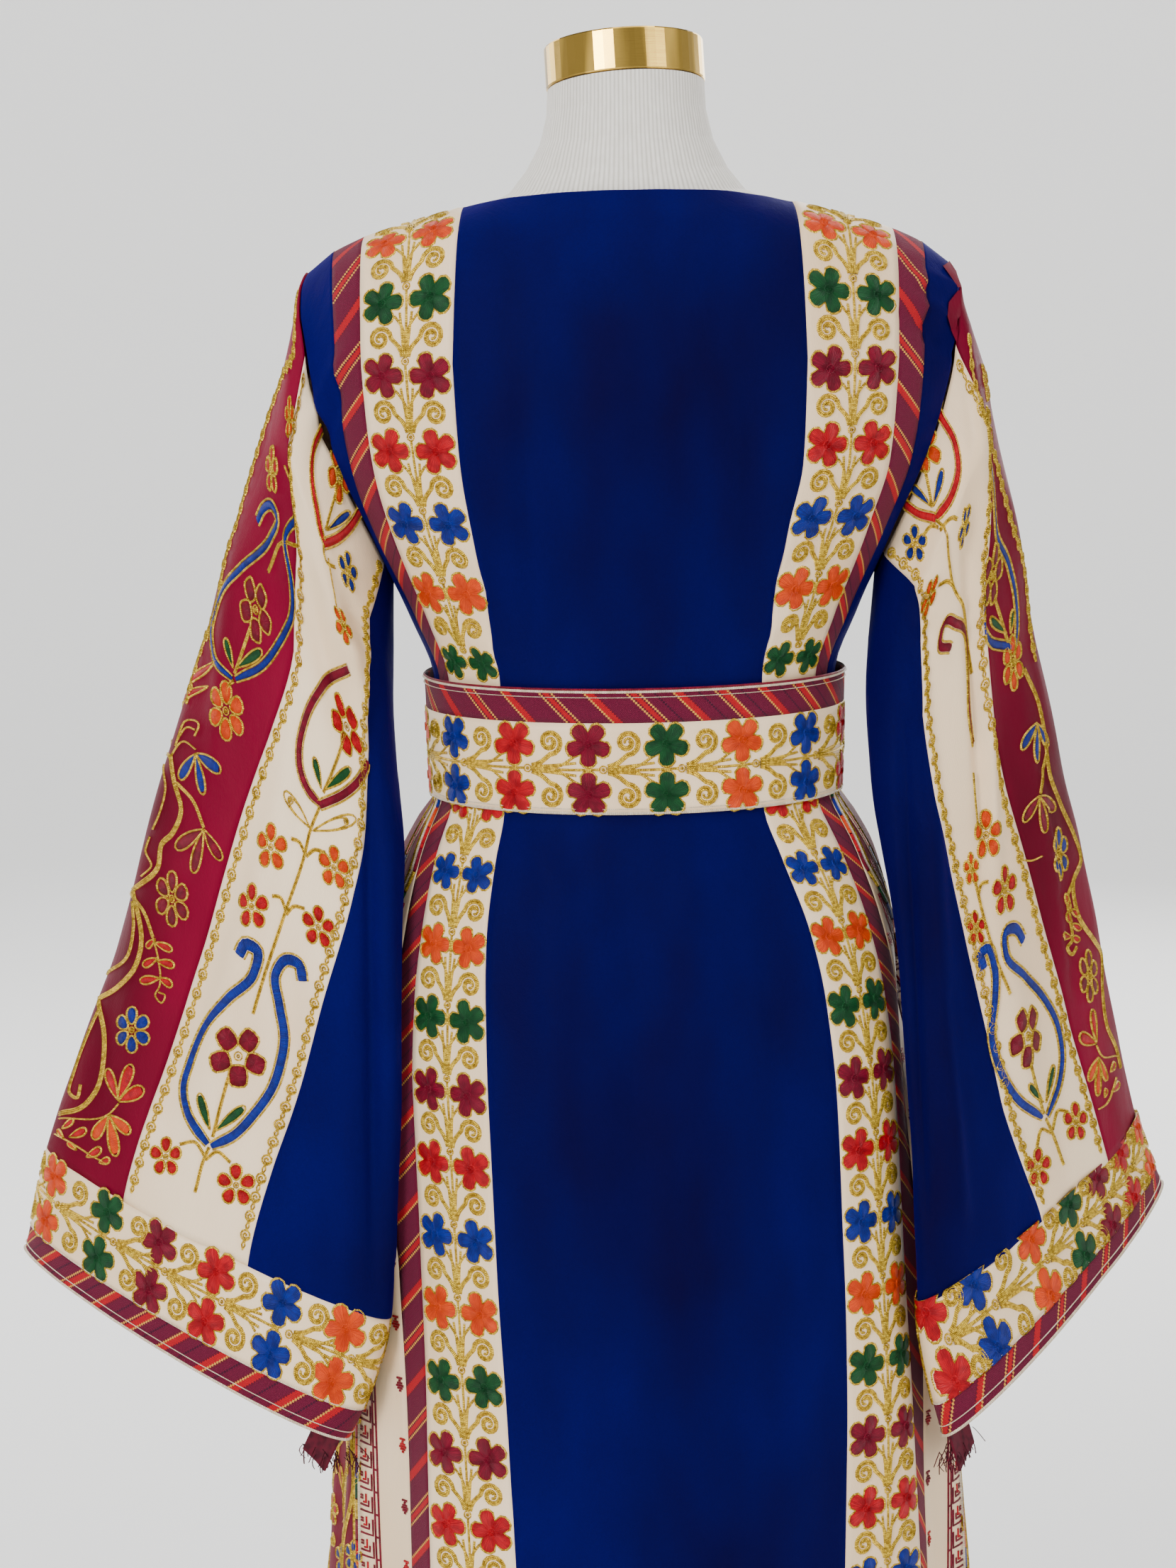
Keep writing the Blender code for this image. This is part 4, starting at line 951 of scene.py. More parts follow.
cordProfile = ((-1.0, -0.12), (0.0, 1.0), (1.0, -0.12))          # across the run, height
satinProfile = ((-1.0, -0.15), (-0.5, 0.9), (0.5, 0.9), (1.0, -0.15))
petalReach = np.array((0.55, 0.86, 0.98, 1.0, 0.98, 0.86))      # from one notch to the next
petalRise = np.array((0.30, 0.86, 1.0, 1.0, 1.0, 0.86))
flowerRings = ((0.01, 0.0, 0.62), (0.34, 0.25, 0.80), (0.72, 0.75, 1.0), (1.0, 1.0, -0.10))
stitchSizes = {
    "cord": 0.00104, "cordHigh": 0.0013, "outline": 0.00082, "satinHigh": 0.0012, "pitch": 0.0510,
    "flower": 0.0146, "flowerOut": 0.0168, "spiral": 0.0088, "spiralOut": 0.0180, "ring": 0.0024,
    "spiralCore": 0.0014, "spiralLanes": ((0.0, 640), (0.0016, 496)),   # offset and degrees of each cord
}


def smoothLine(points, count):
    # a smooth line through a few points
    points = np.array(points, float)
    steps = np.maximum(np.linalg.norm(np.diff(points, axis=0), axis=1), 1e-6)
    knots = np.concatenate([[0.0], np.cumsum(steps)])
    slopes = np.gradient(points, knots, axis=0)
    at = np.linspace(0, knots[-1], count)
    i = np.clip(np.searchsorted(knots, at, side="right") - 1, 0, len(knots) - 2)
    step = (knots[i + 1] - knots[i])[:, None]
    t = (at - knots[i])[:, None] / step
    return ((2 * t ** 3 - 3 * t ** 2 + 1) * points[i] + (t ** 3 - 2 * t ** 2 + t) * slopes[i] * step
            + (3 * t ** 2 - 2 * t ** 3) * points[i + 1] + (t ** 3 - t ** 2) * slopes[i + 1] * step)


def arc(centre, radius, start, end, count):
    # an arc or a spiral, its radius one number or one for each end
    angles = np.radians(np.linspace(start, end, count))
    reach = np.linspace(*radius, count) if isinstance(radius, tuple) else radius
    return np.stack([centre[0] + reach * np.cos(angles), centre[1] + reach * np.sin(angles)], axis=1)


def placed(line, at, growth, scale=(1.0, 1.0)):
    # a motif's own line, its growth along y, moved to a place with its growth turned to an angle
    turn = math.radians(growth - 90)
    line = np.asarray(line, float) * scale
    return np.stack([at[0] + line[:, 0] * math.cos(turn) - line[:, 1] * math.sin(turn),
                     at[1] + line[:, 0] * math.sin(turn) + line[:, 1] * math.cos(turn)], axis=1)


def sideways(line):
    step = np.gradient(line, axis=0)
    if np.allclose(line[0], line[-1]):
        step[0] = step[-1] = line[1] - line[-2]
    step = step / np.maximum(np.linalg.norm(step, axis=1, keepdims=True), 1e-9)
    return np.stack([step[:, 1], -step[:, 0]], axis=1)


class Embroidery:
    # the stitches on one laid panel, gathered into one piece
    def __init__(self, node):
        self.node, self.patch, self.threads = node, patches[node], []
        self.work = bmesh.new()
        self.layer = self.work.verts.layers.float_vector.new("stitch")
        v = float(self.patch.along[-1]) / 2
        base, right, up, out = self.patch.at([0, 0.004, 0, 0], [v, v, v + 0.004, v], [0, 0, 0, 0.01])
        self.turn = 1 if np.dot(np.cross(right - base, up - base), out - base) > 0 else -1

    def lay(self, u, v, h, x, y, thread):
        if thread not in self.threads:
            self.threads.append(thread)
        points = self.patch.at(u.ravel(), v.ravel(), h.ravel()).reshape(u.shape + (3,))
        values = np.stack([x, y, np.zeros_like(x)], axis=-1)
        gridInto(self.work, self.layer, points, values, self.threads.index(thread))

    def run(self, line, thread="goldCord", half=None, high=None, profile=cordProfile, taper=None, lift=0.0):
        half = half or stitchSizes["cord"]
        high = high or stitchSizes["cordHigh"]
        side = sideways(line) * self.turn
        share = np.ones(len(line)) if taper is None else np.asarray(taper, float)
        across = np.array([p[0] for p in profile]) * half
        rise = np.array([p[1] for p in profile]) * high
        u = line[:, :1] + side[:, :1] * share[:, None] * across
        v = line[:, 1:] + side[:, 1:] * share[:, None] * across
        h = lift + rise * np.sqrt(share)[:, None]
        x = np.concatenate([[0.0], np.cumsum(np.linalg.norm(np.diff(line, axis=0), axis=1))])
        self.lay(u, v, h, x[:, None] + 0 * u, across + 0 * u, thread)

    def strands(self, line, count=2, gap=0.00125, **settings):
        side = sideways(line)
        for i in range(count):
            self.run(line + side * gap * (i - (count - 1) / 2), **settings)

    def satin(self, line, thread, half, taper=None, outlined=1):
        # a raised satin-stitch band between gold cords
        self.run(line, thread, half, stitchSizes["satinHigh"], satinProfile, taper)
        for way in (-1, 1) if outlined else ():
            share = half * (1 if taper is None else np.asarray(taper)[:, None]) + 0.0006
            self.run(line + sideways(line) * share * way, half=0.00075, high=0.0013)

    def flower(self, at, radius, thread, growth=90.0, squash=1.0):
        angles = math.radians(growth) + (0.6 - np.arange(31) / 15.0) * math.pi * self.turn
        reach, rise = np.resize(petalReach, 31), np.resize(petalRise, 31)
        u, v, h = [], [], []
        for share, lobed, height in flowerRings:
            r = radius * share * (1 - lobed + lobed * reach)
            u.append(at[0] + squash * r * np.cos(angles))
            v.append(at[1] + r * np.sin(angles))
            h.append(stitchSizes["satinHigh"] * height * (rise if share > 0.1 else 1 + 0 * rise))
        u, v, h = np.array(u), np.array(v), np.array(h)
        self.lay(u, v, h, angles * radius * 0.75 + 0 * u, 0 * u, thread)
        rim = np.stack([at[0] + squash * (radius * reach + 0.0003) * np.cos(angles),
                        at[1] + (radius * reach + 0.0003) * np.sin(angles)], axis=1)
        self.run(rim, half=stitchSizes["outline"], high=0.0009)
        self.run(arc(at, radius * 0.19, 0, 360, 9), thread, 0.0008, 0.0016)

    def ring(self, at, radius=None, inner=True):
        radius = radius or stitchSizes["ring"]
        self.run(arc(at, radius, 0, 360, 11), half=0.00055)
        if inner:
            self.run(arc(at, radius * 0.35, 0, 360, 6), half=0.0006)

    def finished(self):
        finish = [finishes[thread] for thread in self.threads]
        made = asPiece(self.work, self.node + "_embroidery", self.node, finish)
        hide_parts(self.node)
        return made


def bandUnit(sewn, at, growth, wide, thread, pitch):
    # one repeat: a pair of flowers, a ring, and a fan of cords with two spirals up to the next pair
    sizes = stitchSizes
    for way in (-1, 1):
        spot = placed([(way * sizes["flowerOut"] * wide, 0)], at, growth)[0]
        sewn.flower(spot, sizes["flower"] * min(1, wide + 0.06), thread, growth + way * 90)
        centre = (way * sizes["spiralOut"] * wide, 0.50 * pitch)
        radius = sizes["spiral"] * min(1, wide + 0.1)
        start, turns = (180, -1) if way > 0 else (0, 1)
        for lane, sweep in sizes["spiralLanes"]:
            foot = [(way * (0.0010 + lane), 0.25 * pitch), (way * (0.0024 + lane), 0.34 * pitch)]
            curl = arc(centre, (radius - lane, sizes["spiralCore"]), start, start + turns * sweep, 25)
            rise = smoothLine(foot + [tuple(curl[0])], 5)[:-1]
            sewn.run(placed(np.concatenate([rise, curl]), at, growth))
        for frond in (((0.0006, 0.36), (0.0018, 0.62), (0.0078 * wide, 0.80)),
                      ((0.0014, 0.30), (0.0022, 0.50), (0.0042 * wide, 0.84))):
            line = [(way * out, share * pitch) for out, share in frond]
            sewn.run(placed(smoothLine(line, 6), at, growth))
    sewn.run(placed(smoothLine([(0, 0.25 * pitch), (0.0004, 0.7 * pitch), (0, 1.14 * pitch)], 8), at, growth))
    sewn.ring(placed([(0, 0.19 * pitch)], at, growth)[0])


bandColours = ("orange", "green", "wine", "red", "blue")    # downwards on the bands
bandCut = {"wineRowZ": 1.3281, "redRowZ": 1.0525, "fullWidth": 0.064, "topClear": 0.006, "pitch": 0.0474,
           "beltTopZ": 1.118}


def sewBand(node):
    # rows counted from the burgundy pair on the bodice and from the red pair under the belt
    sewn = Embroidery(node)
    patch, pitch = sewn.patch, bandCut["pitch"]
    beltTop, redRow = patch.alongAtZ(bandCut["beltTopZ"]), patch.alongAtZ(bandCut["redRowZ"])
    for rowZ, start, low, high in ((bandCut["wineRowZ"], 2, beltTop, patch.along[-1]),
                                   (bandCut["redRowZ"], 3, 0.0, redRow + 0.01)):
        anchor = patch.alongAtZ(rowZ)
        for step in range(math.ceil((low + 0.012 - anchor) / pitch),
                          math.floor((high - bandCut["topClear"] - anchor) / pitch) + 1):
            v = anchor + step * pitch
            row = int(np.argmin(abs(patch.along - v)))
            wide = min(1.0, patch.width[row] / bandCut["fullWidth"])
            middle = (patch.across[row, 0] + patch.across[row, -1]) / 2
            bandUnit(sewn, (middle, v), 90, wide, bandColours[(start - step) % 5], pitch)
    sewn.finished()


beltCut = {"greenX": 0.0183}
beltColours = ("green", "orange", "blue", "red", "wine")   # to the right from the green pair


def sewBelt():
    sewn = Embroidery("belt_cream")
    width, around = float(sewn.patch.along[-1]), float(sewn.patch.across[0, -1] - sewn.patch.across[0, 0])
    repeats = round(around / stitchSizes["pitch"])
    step = around / repeats
    start = beltCut["greenX"]
    for i in range(repeats):
        u = start + (i - repeats // 2) * step
        u = (u + around / 2) % around - around / 2
        bandUnit(sewn, (u, width * 0.49), 0, 0.96, beltColours[(i - repeats // 2) % 5],
                 step)
    edge = np.linspace(-around / 2, around / 2, 160)
    for v, thread, half, high in ((0.0030, "sand", 0.0004, 0.0005), (0.0004, "sand", 0.0010, 0.0012)):
        sewn.run(np.stack([edge, v + 0 * edge], axis=1), thread, half, high)
    sewn.finished()
    trim = Embroidery("belt_stripe")
    top = float(trim.patch.along[-1])
    around = trim.patch.across[0, -1] - trim.patch.across[0, 0]
    edge = np.linspace(-around / 2, around / 2, 160)
    for v, thread, half, high in (
            (top - 0.0006, "sand", 0.0009, 0.0014), (top + 0.0008, "wine", 0.0008, 0.0008),
            (top - 0.0042, "sand", 0.00025, 0.0009)):
        trim.run(np.stack([edge, v + 0 * edge], axis=1), thread, half, high)
    trim.finished()


for side, tag in sides:
    for face in ("back", "front"):
        sewBand(f"cream_band_{face}_{tag}")
sewBelt()
print("bands and belt embroidered")


# Sleeve embroidery, its places read on the photograph in its own pixels

sleeveMotifs = {
    "sleeve_top_l": {
        "flowers": (   # x, y, radius, petals, narrowing, thread
            (409, 590, 0.0118, 5, 0.9, "orange"), (384, 663, 0.013, 5, 0.9, "red"),
            (437, 697, 0.0115, 5, 0.8, "red"), (319, 1003, 0.0185, 6, 0.95, "orange"),
            (243, 1268, 0.0185, 6, 0.9, "wine"), (186, 1453, 0.0165, 6, 0.95, "blue"),
        ),
        "squares": (   # x, y, radius, narrowing, thread
            (361, 860, 0.0205, 0.85, "wine"),
        ),
        "bands": (   # thread, half width, points
            ("blue", 0.0021, ((364, 734), (372, 717), (386, 716), (392, 731), (383, 757), (339, 802),
             (308, 851), (299, 891), (303, 928), (328, 958))),
            ("blue", 0.0021, ((433, 762), (430, 742), (413, 738), (402, 762), (408, 802), (413, 846),
             (400, 896), (371, 938), (333, 958))),
        ),
        "leaves": (   # x and y of the base, then the tip, width, thread
            (329, 942, 318, 900, 0.0075, "green"), (334, 942, 370, 918, 0.0075, "green"),
            (306, 932, 266, 968, 0.0065, "red"), (294, 968, 256, 1000, 0.0065, "red"),
            (277, 1063, 253, 1098, 0.01, "blue"), (277, 1063, 287, 1121, 0.0105, "blue"),
            (277, 1063, 312, 1087, 0.0105, "blue"), (288, 1170, 248, 1196, 0.0105, "wine"),
            (288, 1170, 272, 1231, 0.011, "wine"), (288, 1170, 313, 1213, 0.0105, "wine"),
            (219, 1325, 207, 1336, 0.005, "red"), (219, 1330, 243, 1340, 0.006, "red"),
            (222, 1352, 202, 1362, 0.006, "red"), (222, 1356, 246, 1362, 0.0065, "red"),
            (225, 1380, 198, 1384, 0.0065, "red"), (225, 1380, 243, 1390, 0.0065, "red"),
            (167, 1552, 151, 1508, 0.01, "red"), (167, 1552, 186, 1502, 0.011, "red"),
            (168, 1554, 203, 1536, 0.011, "red"), (154, 1573, 131, 1606, 0.0105, "orange"),
            (154, 1573, 164, 1631, 0.011, "orange"), (155, 1573, 184, 1598, 0.009, "orange"),
            (88, 1592, 104, 1580, 0.005, "red"), (98, 1604, 122, 1594, 0.0065, "red"),
            (122, 1632, 143, 1621, 0.0065, "red"), (140, 1640, 155, 1636, 0.005, "red"),
            (90, 1606, 82, 1594, 0.0035, "orange"), (108, 1622, 96, 1612, 0.0035, "orange"),
        ),
        "cords": (   # strands, points
            (2, ((437, 600), (420, 668), (393, 770), (379, 806))),
            (1, ((402, 657), (412, 660), (420, 668))),
            (1, ((433, 690), (427, 676), (421, 670))),
            (2, ((354, 884), (331, 950))),
            (2, ((330, 960), (322, 968), (320, 980))),
            (1, ((248, 1052), (262, 1017), (281, 1024), (275, 1038))),
            (1, ((250, 1045), (264, 1026), (276, 1030))),
            (1, ((240, 1070), (258, 1046), (277, 1058))),
            (3, ((229, 1066), (247, 1106), (256, 1141), (244, 1175), (228, 1192), (224, 1221), (200, 1246),
             (187, 1257))),
            (2, ((250, 1105), (274, 1132), (288, 1168))),
            (2, ((242, 1042), (236, 1056), (240, 1068))),
            (3, ((189, 1258), (196, 1293), (200, 1328), (191, 1364), (168, 1391), (139, 1410))),
            (2, ((190, 1257), (205, 1290), (216, 1322))),
            (1, ((216, 1322), (223, 1350), (225, 1392), (219, 1404), (228, 1415), (233, 1404),
             (224, 1400))),
            (2, ((178, 1272), (189, 1304), (182, 1345), (152, 1374))),
            (3, ((140, 1412), (147, 1455), (146, 1500), (139, 1532), (118, 1560), (84, 1571))),
            (1, ((168, 1556), (160, 1566), (84, 1578))),
            (1, ((232, 1078), (234, 1110), (226, 1146), (216, 1170))),
            (1, ((212, 1180), (206, 1200), (214, 1220), (200, 1236))),
            (1, ((78, 1600), (100, 1612), (125, 1628), (152, 1642))),
            (2, ((124, 1430), (120, 1470), (106, 1510), (98, 1540), (110, 1548), (114, 1530))),
        ),
        "rings": (   # x, y, radius
            (438, 547, 0.0042),
        ),
        "chains": (   # points
            ((437, 432), (414, 500), (396, 540), (372, 610), (345, 700), (318, 790), (298, 862),
             (280, 930), (262, 1000)),
        ),
    },
    "sleeve_cream_back_l": {
        "flowers": (
            (490, 807, 0.0118, 5, 0.95, "blue"), (484, 882, 0.0112, 5, 0.7, "orange"),
            (382, 1195, 0.0138, 5, 0.95, "orange"), (471, 1224, 0.0132, 5, 0.95, "orange"),
            (355, 1279, 0.0138, 5, 0.95, "red"), (449, 1308, 0.0135, 5, 0.95, "red"),
            (234, 1632, 0.0135, 5, 0.9, "red"), (333, 1672, 0.0142, 5, 1.0, "red"),
        ),
        "squares": (
            (478, 668, 0.017, 0.8, "orange"), (489, 1025, 0.0185, 0.9, "red"),
            (336, 1490, 0.0215, 1.0, "wine"),
        ),
        "bands": (
            ("red", 0.0024, ((471, 583), (452, 607), (441, 637), (440, 677), (447, 721), (456, 764))),
            ("red", 0.0024, ((456, 768), (480, 757), (500, 735), (510, 700))),
            ("wine", 0.0024, ((492, 944), (451, 974), (429, 1020), (422, 1056), (424, 1087), (435, 1115),
             (451, 1134))),
            ("wine", 0.0024, ((451, 1136), (487, 1119), (508, 1099), (519, 1075))),
            ("blue", 0.0031, ((337, 1347), (346, 1332), (362, 1340), (358, 1373), (321, 1409), (286, 1454),
             (268, 1500), (259, 1534), (264, 1568), (279, 1596), (293, 1614))),
            ("blue", 0.0031, ((427, 1384), (422, 1361), (404, 1354), (389, 1373), (394, 1418), (401, 1463),
             (395, 1503), (384, 1535), (360, 1570), (329, 1602), (298, 1617))),
        ),
        "leaves": (
            (461, 748, 494, 723, 0.006, "blue"), (453, 1112, 443, 1068, 0.007, "green"),
            (458, 1114, 495, 1084, 0.007, "green"), (296, 1594, 281, 1542, 0.0078, "green"),
            (303, 1596, 346, 1561, 0.0078, "green"), (437, 1168, 401, 1117, 0.0085, "goldCord"),
            (441, 1172, 502, 1154, 0.0085, "goldCord"),
        ),
        "cords": (
            (2, ((479, 676), (459, 748))),
            (2, ((487, 1034), (456, 1118))),
            (2, ((322, 1520), (300, 1604))),
            (2, ((456, 768), (459, 790), (472, 800))),
            (1, ((463, 788), (470, 830), (476, 866))),
            (2, ((451, 1138), (438, 1170), (430, 1204), (402, 1288), (371, 1382), (357, 1430))),
            (2, ((430, 1204), (422, 1188), (411, 1183))),
            (2, ((432, 1208), (444, 1199), (459, 1203))),
            (2, ((403, 1284), (395, 1266), (384, 1264))),
            (2, ((404, 1290), (414, 1279), (430, 1282))),
            (2, ((295, 1618), (288, 1634), (275, 1682))),
            (2, ((288, 1630), (276, 1612), (254, 1614))),
            (2, ((290, 1636), (306, 1625), (325, 1640))),
        ),
    },
    "sleeve_cream_back_r": {
        "flowers": (
            (1291, 767, 0.0112, 5, 0.95, "blue"), (1360, 742, 0.012, 5, 0.75, "blue"),
            (1311, 842, 0.0118, 5, 0.95, "orange"), (1391, 1178, 0.0155, 5, 0.75, "orange"),
            (1417, 1256, 0.0155, 5, 0.85, "red"), (1517, 1583, 0.014, 5, 0.8, "red"),
            (1464, 1647, 0.0145, 5, 0.8, "red"), (1370, 1226, 0.011, 5, 0.4, "orange"),
            (1377, 1310, 0.012, 5, 0.4, "red"),
        ),
        "squares": (
            (1303, 630, 0.0165, 0.8, "orange"), (1450, 1462, 0.0215, 0.85, "wine"),
        ),
        "bands": (
            ("red", 0.0024, ((1303, 549), (1328, 589), (1347, 625), (1352, 656), (1342, 700),
             (1321, 730))),
            ("red", 0.0024, ((1321, 732), (1289, 721), (1272, 701), (1268, 679))),
            ("wine", 0.0024, ((1341, 914), (1326, 903), (1330, 884), (1350, 880), (1362, 906), (1364, 950),
             (1366, 1000), (1372, 1050))),
            ("blue", 0.0028, ((1387, 1367), (1384, 1345), (1392, 1338), (1403, 1364), (1404, 1406),
             (1399, 1456), (1410, 1506), (1437, 1552), (1470, 1576))),
            ("blue", 0.0028, ((1443, 1326), (1433, 1310), (1417, 1319), (1419, 1345), (1445, 1376),
             (1471, 1406), (1492, 1448), (1498, 1487), (1493, 1530), (1477, 1574))),
        ),
        "leaves": (
            (1313, 714, 1282, 681, 0.0065, "blue"), (1317, 714, 1330, 661, 0.0065, "blue"),
            (1471, 1555, 1451, 1530, 0.0065, "green"), (1475, 1555, 1486, 1502, 0.0075, "green"),
        ),
        "cords": (
            (2, ((1303, 645), (1315, 716))),
            (2, ((1321, 734), (1343, 821), (1362, 884), (1371, 950))),
            (2, ((1324, 744), (1314, 742), (1302, 756))),
            (2, ((1326, 748), (1340, 732), (1350, 732))),
            (2, ((1345, 826), (1336, 820), (1324, 826))),
            (2, ((1376, 1245), (1387, 1291), (1404, 1349), (1425, 1402))),
            (2, ((1380, 1262), (1384, 1248), (1394, 1244))),
            (2, ((1453, 1498), (1472, 1571))),
            (2, ((1475, 1578), (1484, 1598), (1500, 1643))),
            (2, ((1484, 1594), (1492, 1567), (1506, 1568))),
            (2, ((1482, 1598), (1468, 1594), (1462, 1618))),
            (1, ((1372, 1090), (1376, 1140), (1380, 1172))),
        ),
    },
    "sleeve_top_r": {
        "flowers": (
            (1390, 540, 0.012, 5, 0.6, "orange"), (1374, 630, 0.014, 5, 0.55, "red"),
            (1428, 935, 0.0185, 6, 0.6, "orange"), (1493, 1205, 0.0185, 6, 0.7, "blue"),
            (1536, 1377, 0.0185, 6, 0.6, "wine"),
        ),
        "squares": (
            (1399, 812, 0.0205, 0.7, "wine"),
        ),
        "bands": (
            ("blue", 0.0024, ((1391, 697), (1391, 680), (1377, 675), (1373, 696), (1382, 732), (1405, 752),
             (1422, 795), (1432, 844), (1434, 880), (1432, 912))),
            ("blue", 0.0024, ((1376, 876), (1392, 898), (1428, 914))),
        ),
        "leaves": (
            (1419, 893, 1396, 873, 0.0065, "green"), (1425, 893, 1428, 860, 0.007, "green"),
            (1462, 1020, 1440, 1056, 0.0095, "blue"), (1462, 1020, 1463, 1076, 0.01, "blue"),
            (1462, 1020, 1478, 1052, 0.009, "blue"), (1466, 1123, 1443, 1158, 0.01, "wine"),
            (1466, 1123, 1475, 1174, 0.0105, "wine"), (1466, 1123, 1488, 1141, 0.0095, "wine"),
            (1510, 1282, 1502, 1262, 0.006, "red"), (1510, 1284, 1521, 1290, 0.005, "red"),
            (1511, 1302, 1499, 1290, 0.006, "red"), (1511, 1304, 1524, 1310, 0.005, "red"),
            (1511, 1322, 1500, 1318, 0.006, "red"), (1511, 1322, 1522, 1326, 0.005, "red"),
            (1546, 1470, 1540, 1424, 0.01, "red"), (1546, 1472, 1522, 1462, 0.01, "red"),
            (1549, 1492, 1535, 1524, 0.0095, "orange"), (1549, 1492, 1548, 1546, 0.01, "orange"),
            (1549, 1492, 1561, 1524, 0.008, "orange"), (1558, 1548, 1560, 1536, 0.005, "red"),
            (1566, 1512, 1572, 1500, 0.006, "red"), (1568, 1540, 1578, 1528, 0.006, "red"),
        ),
        "cords": (
            (2, ((1401, 838), (1421, 905))),
            (1, ((1441, 1213), (1456, 1214), (1470, 1208))),
            (3, ((1444, 944), (1462, 985), (1472, 1030), (1481, 1096), (1494, 1131), (1514, 1177),
             (1524, 1211), (1513, 1245), (1517, 1280), (1545, 1330), (1553, 1347), (1554, 1391),
             (1560, 1444), (1575, 1483), (1580, 1506))),
            (2, ((1512, 1246), (1506, 1262), (1510, 1330), (1505, 1336), (1513, 1346), (1518, 1336))),
            (1, ((1546, 1474), (1550, 1484), (1576, 1490))),
            (1, ((1548, 1566), (1560, 1558), (1574, 1520))),
            (2, ((1476, 1060), (1470, 1090), (1467, 1120))),
        ),
        "chains": (
            ((1367, 480), (1372, 527), (1390, 592), (1405, 652), (1414, 690), (1430, 748), (1446, 815),
             (1452, 880), (1462, 940)),
        ),
    },
}
openPetals = {   # shares of the flower's radius: how far out, how long and how wide
    "far": 0.60, "long": 0.37, "wide": 0.30, "squareFar": 0.60, "squareLong": 0.34, "squareWide": 0.31,
}
chainCut = {"pitch": 0.0128, "ring": 0.0033, "inset": 0.0055}
photoFrame = {"centre": (829.5, 1106.0), "focal": 4400.0}


def inPhoto(points):
    # where points of the part fall in the photograph
    turn = Matrix.Rotation(math.radians(90 - studio["down"]), 3, "X") @ Matrix.Rotation(
        math.radians(studio["roll"]), 3, "Z")
    local = (points - np.array(studio["camera"])) @ np.array(turn)
    return np.stack([photoFrame["centre"][0] - photoFrame["focal"] * local[..., 0] / local[..., 2],
                     photoFrame["centre"][1] + photoFrame["focal"] * local[..., 1] / local[..., 2]], axis=-1)


def seen(patch, spots):
    # metres across and along a panel at places read on the photograph
    spots = np.atleast_2d(np.array(spots, float))
    flat = inPhoto(patch.grid)
    away = patch.normal[..., 1] > 0.15
    found = []
    for spot in spots:
        gap = np.linalg.norm(flat - spot, axis=2) + 400.0 * away
        r, c = np.unravel_index(int(np.argmin(gap)), gap.shape)
        found.append((patch.across[r, c], patch.along[r]))
    found = np.array(found)
    span = 0.002
    for _ in range(5):
        u, v = found[:, 0], found[:, 1]
        here = inPhoto(patch.at(u, v))
        du = (inPhoto(patch.at(u + span, v)) - here) / span
        dv = (inPhoto(patch.at(u, v + span)) - here) / span
        miss = spots - here
        det = du[:, 0] * dv[:, 1] - du[:, 1] * dv[:, 0]
        det = np.where(abs(det) < 1e4, np.sign(det + 1e-9) * 1e4, det)
        step = np.stack([(miss[:, 0] * dv[:, 1] - miss[:, 1] * dv[:, 0]) / det,
                         (du[:, 0] * miss[:, 1] - du[:, 1] * miss[:, 0]) / det], axis=1)
        found = found + np.clip(step, -0.012, 0.012)
    return found


def openFlower(sewn, at, radius, petals, squash, thread, upwards, square=False):
    # separate petals, each in its own gold outline, round a gold ring
    wide = openPetals["squareWide" if square else "wide"] * radius * (5 / petals) ** 0.5
    long = openPetals["squareLong" if square else "long"] * radius
    far = openPetals["squareFar" if square else "far"] * radius
    power = 0.62 if square else 1.0
    for i in range(petals):
        turn = upwards + 2 * math.pi * (i + (0.5 if square else 0.0)) / petals
        angles = np.linspace(0, -2 * math.pi * sewn.turn, 13)
        x, y = np.cos(angles), np.sin(angles)
        x, y = np.sign(x) * abs(x) ** power, np.sign(y) * abs(y) ** power
        x, y = far + long * x, wide * y * (1.0 if square else 1.0 + 0.25 * x)
        u = squash * (x * math.cos(turn) - y * math.sin(turn))
        v = x * math.sin(turn) + y * math.cos(turn)
        middle = (squash * far * math.cos(turn), far * math.sin(turn))
        rings = np.array([0.01, 0.62, 0.92])[:, None]
        height = np.array([1.0, 0.85, 0.0])[:, None] * stitchSizes["satinHigh"] + 0 * u
        sewn.lay(at[0] + middle[0] + (u - middle[0]) * rings, at[1] + middle[1] + (v - middle[1]) * rings,
                 height, angles * wide + 0 * height, 0 * height, thread)
        sewn.run(np.stack([at[0] + u, at[1] + v], axis=1), half=0.00085, high=0.0014)
    sewn.ring(at, radius * 0.13)


def leaf(sewn, base, tip, wide, thread):
    # a drop of satin stitch between its gold outlines, the point at its base
    base, tip = np.array(base), np.array(tip)
    way = tip - base
    side = np.array([way[1], -way[0]]) / max(np.linalg.norm(way), 1e-6)
    turn = np.linspace(0, 2 * math.pi, 17)
    run, off = (1 - np.cos(turn)) / 2, np.sin(turn) * np.sin(turn / 2) ** 1.1 * 0.55
    rim = base + way * run[:, None] + side * wide * off[:, None]
    if thread != "goldCord":
        share = np.linspace(0.10, 0.93, 7)
        taper = np.sin(np.arccos(1 - 2 * share)) * np.sin(np.arccos(1 - 2 * share) / 2) ** 1.1
        sewn.run(base + way * share[:, None], thread, wide * 0.50, stitchSizes["satinHigh"], satinProfile,
                 np.maximum(taper, 0.1))
    else:
        sewn.ring(tip - way * 0.24, wide * 0.24)
        sewn.run(base + (rim - base) * 0.8, half=0.0006)
    sewn.run(rim, half=0.0008)


